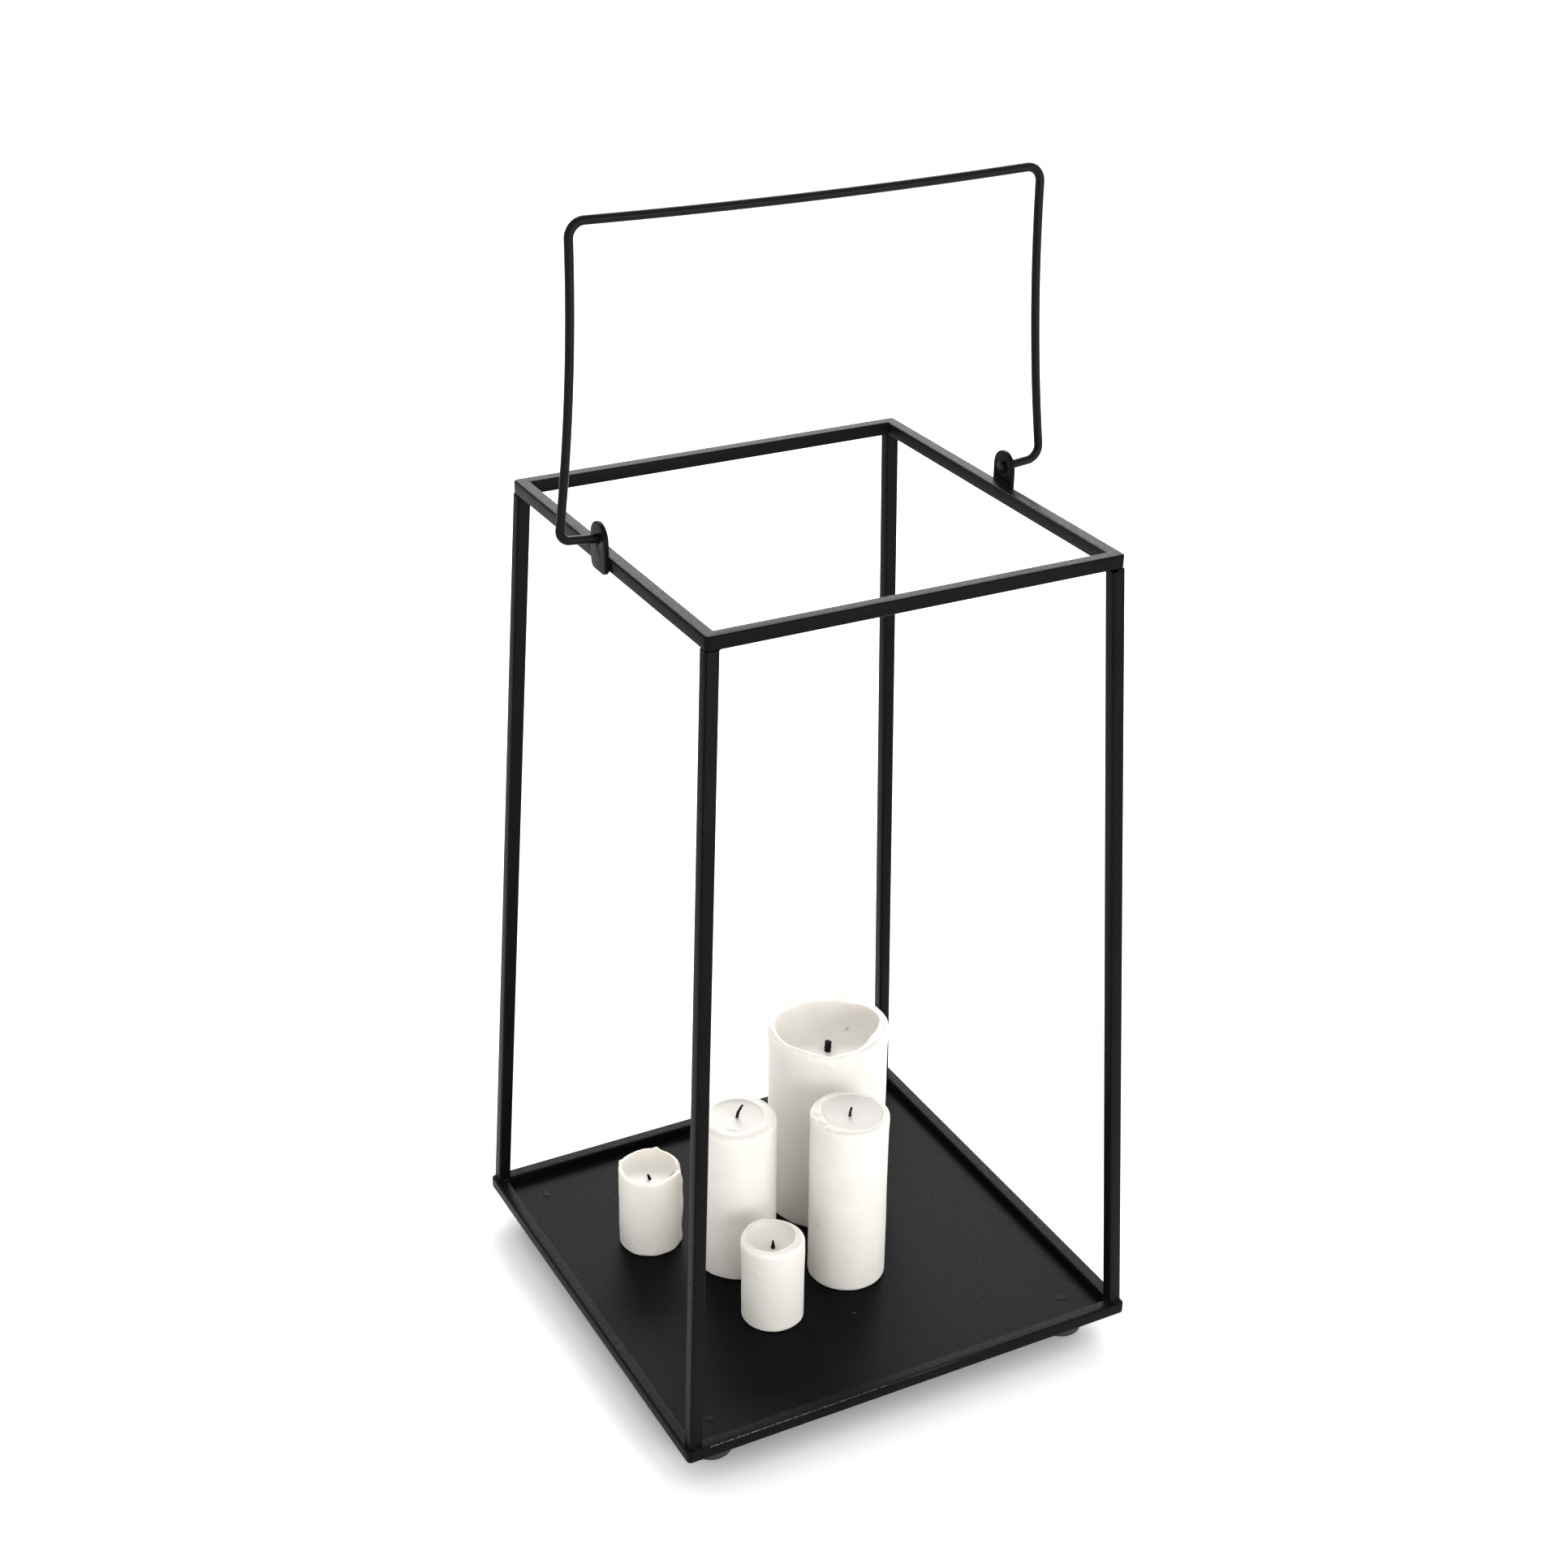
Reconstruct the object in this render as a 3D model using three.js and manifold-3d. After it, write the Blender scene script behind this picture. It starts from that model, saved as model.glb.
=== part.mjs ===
// Candle lantern: an open, slightly tapered steel frame on a tray, with a wire carrying handle
// and five wax candles standing inside.
// Millimetres, +Z up. The origin is on the floor, under the middle of the tray.
// +X runs along the front rail to the right, +Y runs from the front to the back.

import * as THREE from "three";
import { mergeVertices } from "three/addons/utils/BufferGeometryUtils.js";
import Module from "manifold-3d";

const wasm = await Module();
wasm.setup();

// ---------------------------------------------------------------- driving dimensions

// Frame: two mitred rings of square tube, joined by four leaning legs.
const BASE_WIDTH = 300; // outside of the square base ring
const TOP_WIDTH = 250; // outside of the square top ring
const FRAME_HEIGHT = 500; // underside of the base ring to the top face of the top ring
const TUBE = 8; // outside of the square tube
const TUBE_WALL = 1;
const TUBE_CORNER = 1.2; // outside corner radius of the tube
const LEG_INSET = 2; // from the base ring's outer face in to the leg's outer face

// Tray: a sheet welded inside the base ring, flush with its underside.
const TRAY_THICKNESS = 1.5;
const TRAY_GAP = 0.3; // between the sheet's edge and the ring
const DRAIN_RADIUS = 1.75; // the hole the tray hangs from while it is coated
const DRAIN_FROM_CENTRE = 75;

// Feet: rubber bumpers, each held by one rivet through the tray.
const FOOT_HEIGHT = 20;
const FOOT_TOP_RADIUS = 14;
const FOOT_BOTTOM_RADIUS = 13;
const FOOT_EDGE = 3; // rounding where the foot meets the floor
const FOOT_INSET = 28; // from the base ring's outer face in to the foot's centre
const FOOT_RECESS_RADIUS = 6;
const FOOT_WEB = 6; // rubber left above the recess
const RIVET_RADIUS = 1.6;
const RIVET_HOLE_CLEARANCE = 0.3;
const RIVET_HEAD_RADIUS = 3.2;
const RIVET_HEAD_HEIGHT = 1.3;
const RIVET_TAIL_RADIUS = 2.8;
const RIVET_TAIL_HEIGHT = 1;

// Tabs: plates welded to the outer faces of the left and right top rails.
const TAB_WIDTH = 19;
const TAB_THICKNESS = 2.5;
const TAB_CORNER = 4; // rounding of the two lower corners
const PIVOT_RISE = 8.5; // from the top face of the top ring up to the handle's axis

// Handle: one bent wire, whose ends pass through the tabs and are headed over inside.
const WIRE = 5;
const WIRE_CLEARANCE = 0.4; // all round, in the tab's hole
const HANDLE_RISE = 170.5; // from the axis up to the middle of the wire at the bar's ends
const HANDLE_LOW_OUT = 24.5; // from the top ring's outer face out to the wire, at the axis
const HANDLE_TOP_OUT = 14.3; // the same, at the bar
const HANDLE_WAIST_OUT = 14; // the same, at the point the two sides bow towards
const BAR_SAG = 2; // how far the middle of the bar hangs below its ends
const BEND = 9; // how far each bend reaches along its two runs
const HEAD_RADIUS = 4;
const HEAD_THICKNESS = 2.2;
const HEAD_CLEARANCE = 0.4; // between the head and the tab

// Candles: wax round a wick that runs right through.
const STANDING_GAP = 0.3; // between a candle and the tray
const WICK_CLEARANCE = 0.3; // between the wick and the wax
const WICK_FOOT = 1; // how far the wick ends above the candle's underside
const WAX_FOOT_EDGE = 1.5; // rounding of the candle's lower edge
const CANDLES = [
  {
    name: "small_left", x: -81, y: 48.5, radius: 19.6, height: 56, shoulder: 1.4,
    rim: 2.2, hollow: 10, wickRadius: 1.1, stub: 4.5, lean: [-0.8, 0.6],
  },
  {
    name: "medium_left", x: -40, y: 7, radius: 24.9, height: 108, shoulder: 3,
    rim: 7, hollow: 1.5, wickRadius: 1, stub: 9, lean: [3, -1.6],
  },
  {
    name: "small_front", x: -45.5, y: -53, radius: 19.3, height: 57.5, shoulder: 2.6,
    rim: 5, hollow: 8, wickRadius: 1.2, stub: 6, lean: [0, 0.3],
  },
  {
    name: "medium_right", x: 16.5, y: -34.5, radius: 24.3, height: 118, shoulder: 1.6,
    rim: 3.5, hollow: 2.5, wickRadius: 0.9, stub: 6, lean: [0.8, -0.4],
  },
  {
    name: "large_back", x: 41, y: 38.5, radius: 38, height: 133, shoulder: 1.5,
    rim: 3, hollow: 20, wickRadius: 2.4, stub: 9, lean: [0.4, 0.4],
  },
];

// ---------------------------------------------------------------- levels

const RING_BOTTOM = FOOT_HEIGHT;
const BASE_RING_TOP = RING_BOTTOM + TUBE;
const TRAY_TOP = RING_BOTTOM + TRAY_THICKNESS;
const FRAME_TOP = RING_BOTTOM + FRAME_HEIGHT;
const TOP_RING_BOTTOM = FRAME_TOP - TUBE;
const PIVOT_Z = FRAME_TOP + PIVOT_RISE;
const BAR_Z = PIVOT_Z + HANDLE_RISE;

// ---------------------------------------------------------------- materials

function finish(color, roughness, metalness) {
  return new THREE.MeshStandardMaterial({ color, roughness, metalness });
}
const coatedSteel = finish(0x1d1d1e, 0.42, 0.2);
const blackRubber = finish(0x161616, 0.8, 0);
const whiteWax = finish(0xf3f1ec, 0.5, 0);
const charredWick = finish(0x17130f, 0.95, 0);

// ---------------------------------------------------------------- shared helpers

const SIDES = ["front", "right", "back", "left"];
const CORNERS = ["front_left", "front_right", "back_right", "back_left"];
const QUARTER_TURN = Math.PI / 2;
const CANDLE_SIDES = 28;
const FOOT_SIDES = 20;
const RIVET_SIDES = 12;
const WIRE_SIDES = 12;
const WICK_SIDES = 8;
const POINTS_PER_CURVE_SEGMENT = 2; // an arc gets twice the curveSegments it is given
const KAPPA = 0.5523; // makes a cubic curve follow a quarter circle

function named(name, geometry, material) {
  const mesh = new THREE.Mesh(geometry, material);
  mesh.name = name;
  return mesh;
}

function roundedSquare(size, radius) {
  const inner = size / 2 - radius;
  const shape = new THREE.Shape();
  shape.absarc(inner, inner, radius, 0, QUARTER_TURN);
  shape.absarc(-inner, inner, radius, QUARTER_TURN, 2 * QUARTER_TURN);
  shape.absarc(-inner, -inner, radius, 2 * QUARTER_TURN, 3 * QUARTER_TURN);
  shape.absarc(inner, -inner, radius, 3 * QUARTER_TURN, 4 * QUARTER_TURN);
  shape.closePath();
  return shape;
}

function circle(x, y, radius) {
  return new THREE.Path().absarc(x, y, radius, 0, 2 * Math.PI, true);
}

// A length of the square tube along +Z, with both ends open.
function tube(length) {
  const half = TUBE / 2 - TUBE_WALL;
  const shape = roundedSquare(TUBE, TUBE_CORNER);
  const bore = new THREE.Path();
  bore.moveTo(-half, -half);
  bore.lineTo(-half, half);
  bore.lineTo(half, half);
  bore.lineTo(half, -half);
  bore.closePath();
  shape.holes.push(bore);
  return new THREE.ExtrudeGeometry(shape, {
    depth: length,
    bevelEnabled: false,
    curveSegments: 1,
  });
}

// Turns a profile of (radius, height) points round the +Z axis.
function turned(points, sides) {
  return new THREE.LatheGeometry(points, sides).rotateX(QUARTER_TURN);
}

// A route whose stations are set piece by piece: straight runs need one step, bends need several.
class Route extends THREE.Curve {
  constructor(pieces) {
    super();
    this.pieces = pieces;
    this.steps = pieces.reduce((sum, [, steps]) => sum + steps, 0);
  }
  getPoint(t, target = new THREE.Vector3()) {
    let station = t * this.steps;
    for (const [curve, steps] of this.pieces) {
      if (station <= steps) return curve.getPoint(station / steps, target);
      station -= steps;
    }
    return this.pieces.at(-1)[0].getPoint(1, target);
  }
  getUtoTmapping(u) {
    return u;
  }
}

// A round rod or cord along a route.
function rod(route, radius, sides) {
  const section = new THREE.Shape().absarc(0, 0, radius, 0, 2 * Math.PI);
  return new THREE.ExtrudeGeometry(section, {
    extrudePath: route,
    steps: route.steps,
    curveSegments: sides / POINTS_PER_CURVE_SEGMENT,
  });
}

function solid(geometry) {
  const bare = new THREE.BufferGeometry();
  const loose = geometry.index ? geometry.toNonIndexed() : geometry;
  bare.setAttribute("position", loose.getAttribute("position"));
  const merged = mergeVertices(bare, 1e-4);
  return new wasm.Manifold(
    new wasm.Mesh({
      numProp: 3,
      vertProperties: merged.attributes.position.array,
      triVerts: new Uint32Array(merged.index.array),
    }),
  );
}

function geometryOf(body) {
  const mesh = body.getMesh();
  const geometry = new THREE.BufferGeometry();
  geometry.setAttribute("position", new THREE.BufferAttribute(mesh.vertProperties, 3));
  geometry.setIndex(new THREE.BufferAttribute(mesh.triVerts, 1));
  geometry.computeVertexNormals();
  return geometry;
}

// ---------------------------------------------------------------- frame

// One side of a square ring along X, its outer face towards -Y, mitred at 45 degrees at both ends.
function mitredRail(width) {
  const geometry = tube(width).translate(0, 0, -width / 2).rotateY(QUARTER_TURN);
  const position = geometry.getAttribute("position");
  for (let i = 0; i < position.count; i++) {
    const cut = position.getY(i) + TUBE / 2;
    const x = position.getX(i);
    position.setX(i, x - Math.sign(x) * cut);
  }
  return geometry;
}

function ring(prefix, width, underside) {
  const group = new THREE.Group();
  group.position.z = underside + TUBE / 2;
  SIDES.forEach((side, turn) => {
    const rail = named(`${prefix}_${side}`, mitredRail(width), coatedSteel);
    rail.geometry.translate(0, -(width - TUBE) / 2, 0);
    rail.rotation.z = turn * QUARTER_TURN;
    group.add(rail);
  });
  return group;
}

// A leg leans in two directions, and both of its ends are cut level, so it is a sheared tube.
function legs() {
  const group = new THREE.Group();
  const length = TOP_RING_BOTTOM - BASE_RING_TOP;
  const foot = BASE_WIDTH / 2 - LEG_INSET - TUBE / 2;
  const head = (TOP_WIDTH - TUBE) / 2;
  const lean = (foot - head) / length;
  const shear = new THREE.Matrix4().makeShear(0, 0, 0, 0, lean, lean);
  group.position.z = BASE_RING_TOP;
  CORNERS.forEach((corner, turn) => {
    const leg = named(`leg_${corner}`, tube(length).applyMatrix4(shear), coatedSteel);
    leg.geometry.translate(-foot, -foot, 0);
    leg.rotation.z = turn * QUARTER_TURN;
    group.add(leg);
  });
  return group;
}

function handleTabs() {
  const group = new THREE.Group();
  const half = TAB_WIDTH / 2;
  const drop = PIVOT_Z - TOP_RING_BOTTOM;
  const plate = new THREE.Shape();
  plate.absarc(0, 0, half, 0, Math.PI);
  plate.absarc(-half + TAB_CORNER, -drop + TAB_CORNER, TAB_CORNER, Math.PI, 1.5 * Math.PI);
  plate.absarc(half - TAB_CORNER, -drop + TAB_CORNER, TAB_CORNER, 1.5 * Math.PI, 2 * Math.PI);
  plate.closePath();
  plate.holes.push(circle(0, 0, WIRE / 2 + WIRE_CLEARANCE));
  const settings = { depth: TAB_THICKNESS, bevelEnabled: false, curveSegments: 8 };
  ["right", "left"].forEach((side, turn) => {
    // The outline is drawn in Y and Z, and its thickness grows outwards from the rail's face.
    const geometry = new THREE.ExtrudeGeometry(plate, settings);
    geometry.rotateX(QUARTER_TURN).rotateZ(QUARTER_TURN);
    geometry.translate(TOP_WIDTH / 2, 0, PIVOT_Z);
    const tab = named(`handle_tab_${side}`, geometry, coatedSteel);
    tab.rotation.z = turn * Math.PI;
    group.add(tab);
  });
  return group;
}

// ---------------------------------------------------------------- tray and feet

const FOOT_CENTRE = BASE_WIDTH / 2 - FOOT_INSET;
const RIVET_HOLE_RADIUS = RIVET_RADIUS + RIVET_HOLE_CLEARANCE;

function trayPlate() {
  const half = BASE_WIDTH / 2 - TUBE - TRAY_GAP;
  const sheet = new THREE.Shape();
  sheet.moveTo(-half, -half);
  sheet.lineTo(half, -half);
  sheet.lineTo(half, half);
  sheet.lineTo(-half, half);
  sheet.closePath();
  for (const x of [-FOOT_CENTRE, FOOT_CENTRE])
    for (const y of [-FOOT_CENTRE, FOOT_CENTRE])
      sheet.holes.push(circle(x, y, RIVET_HOLE_RADIUS));
  sheet.holes.push(circle(0, -DRAIN_FROM_CENTRE, DRAIN_RADIUS));
  const geometry = new THREE.ExtrudeGeometry(sheet, {
    depth: TRAY_THICKNESS,
    bevelEnabled: false,
    curveSegments: 6,
  });
  const tray = named("tray_plate", geometry, coatedSteel);
  tray.position.z = RING_BOTTOM;
  return tray;
}

// The foot tapers to a rounded lower edge, and is hollow below the web that the rivet holds.
function footProfile() {
  const profile = new THREE.Path();
  const webUnderside = FOOT_HEIGHT - FOOT_WEB;
  profile.moveTo(FOOT_RECESS_RADIUS, 0);
  profile.lineTo(FOOT_BOTTOM_RADIUS - FOOT_EDGE, 0);
  profile.absarc(FOOT_BOTTOM_RADIUS - FOOT_EDGE, FOOT_EDGE, FOOT_EDGE, -QUARTER_TURN, 0);
  profile.lineTo(FOOT_TOP_RADIUS, FOOT_HEIGHT);
  profile.lineTo(RIVET_HOLE_RADIUS, FOOT_HEIGHT);
  profile.lineTo(RIVET_HOLE_RADIUS, webUnderside);
  profile.lineTo(FOOT_RECESS_RADIUS, webUnderside);
  profile.lineTo(FOOT_RECESS_RADIUS, 0);
  return profile.getPoints(2);
}

// Low domed head on the tray, shank through tray and web, flared tail inside the foot's recess.
function rivetProfile() {
  const profile = new THREE.Path();
  const tailTop = -TRAY_THICKNESS - FOOT_WEB - RIVET_HOLE_CLEARANCE;
  const underHead = RIVET_HOLE_CLEARANCE;
  profile.moveTo(0, tailTop - RIVET_TAIL_HEIGHT);
  profile.lineTo(RIVET_TAIL_RADIUS, tailTop - RIVET_TAIL_HEIGHT);
  profile.lineTo(RIVET_TAIL_RADIUS, tailTop);
  profile.lineTo(RIVET_RADIUS, tailTop);
  profile.lineTo(RIVET_RADIUS, underHead);
  profile.lineTo(RIVET_HEAD_RADIUS, underHead);
  profile.absellipse(0, underHead, RIVET_HEAD_RADIUS, RIVET_HEAD_HEIGHT, 0, QUARTER_TURN);
  return profile.getPoints(2);
}

function feet() {
  const group = new THREE.Group();
  CORNERS.forEach((corner, turn) => {
    const place = new THREE.Group();
    const angle = (turn - 1.5) * QUARTER_TURN;
    const x = Math.sign(Math.cos(angle)) * FOOT_CENTRE;
    const y = Math.sign(Math.sin(angle)) * FOOT_CENTRE;
    place.position.set(x, y, 0);
    const foot = named(`foot_${corner}`, turned(footProfile(), FOOT_SIDES), blackRubber);
    const rivet = named(`foot_rivet_${corner}`, turned(rivetProfile(), RIVET_SIDES), coatedSteel);
    rivet.position.z = TRAY_TOP;
    place.add(foot, rivet);
    group.add(place);
  });
  return group;
}

// ---------------------------------------------------------------- handle

function toward(from, to, distance) {
  return to.clone().sub(from).setLength(distance).add(from);
}

// A rounded corner between two points that lie the same distance from it.
function bend(start, corner, end) {
  return new THREE.CubicBezierCurve3(
    start,
    start.clone().lerp(corner, KAPPA),
    end.clone().lerp(corner, KAPPA),
    end,
  );
}

function handleRoute() {
  const at = (x, z) => new THREE.Vector3(x, 0, z);
  const innerEnd = TOP_WIDTH / 2 - HEAD_CLEARANCE - HEAD_THICKNESS / 2;
  const barControl = at(0, BAR_Z - 2 * BAR_SAG);
  const half = (side) => {
    const lowCorner = at(side * (TOP_WIDTH / 2 + HANDLE_LOW_OUT), PIVOT_Z);
    const topCorner = at(side * (TOP_WIDTH / 2 + HANDLE_TOP_OUT), BAR_Z);
    const waist = at(side * (TOP_WIDTH / 2 + HANDLE_WAIST_OUT), (PIVOT_Z + BAR_Z) / 2);
    const stubEnd = toward(lowCorner, at(0, PIVOT_Z), BEND);
    const sideLow = toward(lowCorner, waist, BEND);
    const sideTop = toward(topCorner, waist, BEND);
    const barEnd = toward(topCorner, barControl, BEND);
    const start = at(side * innerEnd, PIVOT_Z);
    return { start, stubEnd, lowCorner, sideLow, waist, sideTop, topCorner, barEnd };
  };
  const l = half(-1);
  const r = half(1);
  return new Route([
    [new THREE.LineCurve3(l.start, l.stubEnd), 1],
    [bend(l.stubEnd, l.lowCorner, l.sideLow), 6],
    [new THREE.QuadraticBezierCurve3(l.sideLow, l.waist, l.sideTop), 6],
    [bend(l.sideTop, l.topCorner, l.barEnd), 6],
    [new THREE.QuadraticBezierCurve3(l.barEnd, barControl, r.barEnd), 8],
    [bend(r.barEnd, r.topCorner, r.sideTop), 6],
    [new THREE.QuadraticBezierCurve3(r.sideTop, r.waist, r.sideLow), 6],
    [bend(r.sideLow, r.lowCorner, r.stubEnd), 6],
    [new THREE.LineCurve3(r.stubEnd, r.start), 1],
  ]);
}

// The end of the wire, headed over: flat towards the tab, domed towards the middle.
function wireHead(side) {
  const profile = new THREE.Path();
  const flat = HEAD_THICKNESS / 3;
  profile.moveTo(0, 0);
  profile.lineTo(HEAD_RADIUS, 0);
  profile.lineTo(HEAD_RADIUS, flat);
  profile.absellipse(0, flat, HEAD_RADIUS, HEAD_THICKNESS - flat, 0, QUARTER_TURN);
  const head = turned(profile.getPoints(2), WIRE_SIDES).rotateY(-side * QUARTER_TURN);
  return head.translate(side * (TOP_WIDTH / 2 - HEAD_CLEARANCE), 0, PIVOT_Z);
}

function carryHandle() {
  const wire = solid(rod(handleRoute(), WIRE / 2, WIRE_SIDES));
  const headed = wire.add(solid(wireHead(-1))).add(solid(wireHead(1)));
  return named("carry_handle", geometryOf(headed), coatedSteel);
}

// ---------------------------------------------------------------- candles

// Outline of the wax: rounded foot, straight side, soft shoulder, a rim and the burnt hollow,
// closed along the bore that holds the wick.
function waxProfile(candle) {
  const { radius, height, shoulder, rim, hollow } = candle;
  const bore = candle.wickRadius + WICK_CLEARANCE;
  const pool = radius - rim;
  const profile = new THREE.Path();
  profile.moveTo(bore, 0);
  profile.lineTo(radius - WAX_FOOT_EDGE, 0);
  profile.absarc(radius - WAX_FOOT_EDGE, WAX_FOOT_EDGE, WAX_FOOT_EDGE, -QUARTER_TURN, 0);
  profile.lineTo(radius, height - shoulder);
  profile.absarc(radius - shoulder, height - shoulder, shoulder, 0, QUARTER_TURN);
  profile.lineTo(pool, height);
  const edge = 2 * Math.PI - Math.acos((2 * bore) / pool);
  profile.absellipse(0, height, pool, hollow, 2 * Math.PI, edge, true);
  profile.lineTo(bore, height - hollow);
  profile.lineTo(bore, 0);
  return profile.getPoints(2);
}

// The wick stands straight in the wax and leans over where it is free.
function wickRoute(candle) {
  const wax = candle.height - candle.hollow;
  const [leanX, leanY] = candle.lean;
  const foot = new THREE.Vector3(0, 0, WICK_FOOT);
  const surface = new THREE.Vector3(0, 0, wax);
  const upright = new THREE.Vector3(0, 0, wax + candle.stub / 2);
  const tip = new THREE.Vector3(leanX, leanY, wax + candle.stub);
  return new Route([
    [new THREE.LineCurve3(foot, surface), 1],
    [new THREE.QuadraticBezierCurve3(surface, upright, tip), 5],
  ]);
}

function candles() {
  const group = new THREE.Group();
  group.position.z = TRAY_TOP + STANDING_GAP;
  for (const candle of CANDLES) {
    const place = new THREE.Group();
    place.position.set(candle.x, candle.y, 0);
    const wax = turned(waxProfile(candle), CANDLE_SIDES);
    const wick = rod(wickRoute(candle), candle.wickRadius, WICK_SIDES);
    place.add(named(`candle_${candle.name}`, wax, whiteWax));
    place.add(named(`wick_${candle.name}`, wick, charredWick));
    group.add(place);
  }
  return group;
}

// ---------------------------------------------------------------- the lantern

const lantern = new THREE.Group();
lantern.add(
  ring("base_rail", BASE_WIDTH, RING_BOTTOM),
  ring("top_rail", TOP_WIDTH, TOP_RING_BOTTOM),
  legs(),
  handleTabs(),
  trayPlate(),
  feet(),
  carryHandle(),
  candles(),
);

export default lantern;
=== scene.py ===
"""Candle lantern: an open steel frame on a tray, with a wire handle and five wax candles."""

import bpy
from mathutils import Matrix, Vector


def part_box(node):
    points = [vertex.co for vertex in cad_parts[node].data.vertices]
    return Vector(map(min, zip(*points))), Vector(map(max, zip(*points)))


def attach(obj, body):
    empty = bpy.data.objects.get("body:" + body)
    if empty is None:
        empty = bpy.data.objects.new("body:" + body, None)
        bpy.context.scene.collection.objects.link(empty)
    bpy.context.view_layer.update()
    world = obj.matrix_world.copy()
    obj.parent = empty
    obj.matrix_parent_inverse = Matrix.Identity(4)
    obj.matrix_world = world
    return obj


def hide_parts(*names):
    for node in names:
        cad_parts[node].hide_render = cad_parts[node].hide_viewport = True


bl_info = {
    "name": "Candle lantern",
    "version": (1, 0, 0),
    "blender": (4, 5, 0),
    "location": "View3D > Sidebar > Lantern",
    "description": "Models a tapered steel candle lantern with its handle, tray, feet and candles",
    "category": "Object",
}

import math

import bmesh
import bpy
from mathutils import Matrix, Vector, noise

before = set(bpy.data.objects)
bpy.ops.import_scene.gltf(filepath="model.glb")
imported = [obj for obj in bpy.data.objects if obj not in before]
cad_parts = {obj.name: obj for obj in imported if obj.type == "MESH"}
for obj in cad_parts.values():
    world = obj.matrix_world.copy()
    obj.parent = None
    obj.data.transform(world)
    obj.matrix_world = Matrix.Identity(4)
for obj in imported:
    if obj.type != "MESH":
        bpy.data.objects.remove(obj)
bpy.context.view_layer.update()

MM = 0.001
SIDES = ["front", "right", "back", "left"]
CORNERS = ["front_left", "front_right", "back_right", "back_left"]
CANDLES = ["small_left", "medium_left", "small_front", "medium_right", "large_back"]
QUARTER = math.pi / 2
STEEL_BODY = "lantern_frame"


def mm(*sizes):
    """Millimetres as metres: one number for one size, a tuple for several."""
    found = tuple(size * MM for size in sizes)
    return found[0] if len(found) == 1 else found


# Points nearer than this are one point, and a pick by place has this much slack.
SAME_PLACE = 1e-6
SLACK = mm(0.01)


def colour(code):
    """A colour written as sRGB hex, as the linear red, green, blue and alpha that shaders take."""
    shares = [int(code[i : i + 2], 16) / 255 for i in (1, 3, 5)]
    linear = [s / 12.92 if s <= 0.04045 else ((s + 0.055) / 1.055) ** 2.4 for s in shares]
    return (*linear, 1.0)


def span(*nodes):
    """Lowest and highest corner of the box round some CAD nodes."""
    corners = [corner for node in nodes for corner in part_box(node)]
    low = Vector([min(c[i] for c in corners) for i in range(3)])
    high = Vector([max(c[i] for c in corners) for i in range(3)])
    return low, high


def plan_centre(node):
    """Middle of a CAD node's box, seen from above."""
    low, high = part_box(node)
    return (low.x + high.x) / 2, (low.y + high.y) / 2


def tube_width():
    """Width of the square tube, which is the height of the base ring."""
    low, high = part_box("base_rail_front")
    return high.z - low.z


# ------------------------------------------------------------------ settings


def length(name, description, default):
    """A length that the panel shows in the scene's own unit."""
    return bpy.props.FloatProperty(
        name=name, description=description, default=default, min=0.0, unit="LENGTH"
    )


def lengths(name, description, *defaults):
    """One length for each candle, in the order of CANDLES."""
    return bpy.props.FloatVectorProperty(
        name=name, description=description, size=len(defaults), default=mm(*defaults), unit="LENGTH"
    )


def paint(name, description, code):
    """A colour that the panel shows as a swatch."""
    return bpy.props.FloatVectorProperty(
        name=name, description=description, size=4, default=colour(code),
        min=0.0, max=1.0, subtype="COLOR",
    )


class LanternFrameSettings(bpy.types.PropertyGroup):
    """Sizes and colours of the welded frame, its tray and its feet."""

    tube_edge: length("Tube edge", "Rounding of the square tube's long edges", mm(1.2))
    ring_corner: length("Ring corner", "Rounding ground onto the corners of both rings", mm(3))
    seam: length("Leg seam", "Bevel round a leg's ends, which shows as a fine seam", mm(0.35))
    slit: length("Slit", "Height of the gap at one corner of the front right leg's top", mm(1.4))
    bead: length("Weld bead", "Radius of the weld beads", mm(1.25))
    tab_drop: length("Tab drop", "How far a handle tab reaches below the ring", mm(2))
    tab_corner: length("Tab corner", "Rounding of a handle tab's lower corners", mm(4))
    tab_edge: length("Tab edge", "Softening of a handle tab's cut edges", mm(0.4))
    drain: length("Drain hole", "Radius of the hole in the tray", mm(1.75))
    drain_offset: length("Drain offset", "From the middle of the tray to the drain hole", mm(75))
    tray_reach: length("Tray reach", "How far the sheet is pressed out to the ring", mm(0.35))
    tray_wave: length("Tray waviness", "How far the sheet bows between its welds", mm(0.12))
    coat: paint("Coat", "Colour of the powder coat", "#090909")
    coat_dust: paint("Coat, dusty", "Colour where handling has left it paler", "#0f0f10")
    bare: paint("Worn edge", "Colour where the coat is rubbed thin", "#8a8a89")
    rubber: paint("Rubber", "Colour of the feet", "#161616")


class LanternHandleSettings(bpy.types.PropertyGroup):
    """Sizes of the bent wire handle."""

    wire: length("Wire", "Diameter of the handle's wire", mm(5))
    low_out: length("Low corner", "From the top ring out to the wire at the pivot", mm(24.5))
    waist_out: length("Waist", "The same at the point the sides bow towards", mm(14))
    top_out: length("Top corner", "The same at the bar", mm(14.3))
    bend: length("Bend reach", "How far a top bend reaches along its two runs", mm(9))
    low_bends: lengths("Low bends", "The same for the left and the right bend at the pivots", 6, 8)
    tilt: length("Low tilt", "How far the low corners stand above the pivots", mm(2.3))
    rise: length("Rise", "From the pivot up to the bar's ends", mm(170.6))
    sag: length("Bar sag", "How far the middle of the bar hangs below its ends", mm(2))
    head: length("Head", "Radius of the wire's headed ends", mm(3.5))
    head_height: length("Head height", "Thickness of the wire's headed ends", mm(1.6))


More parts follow.
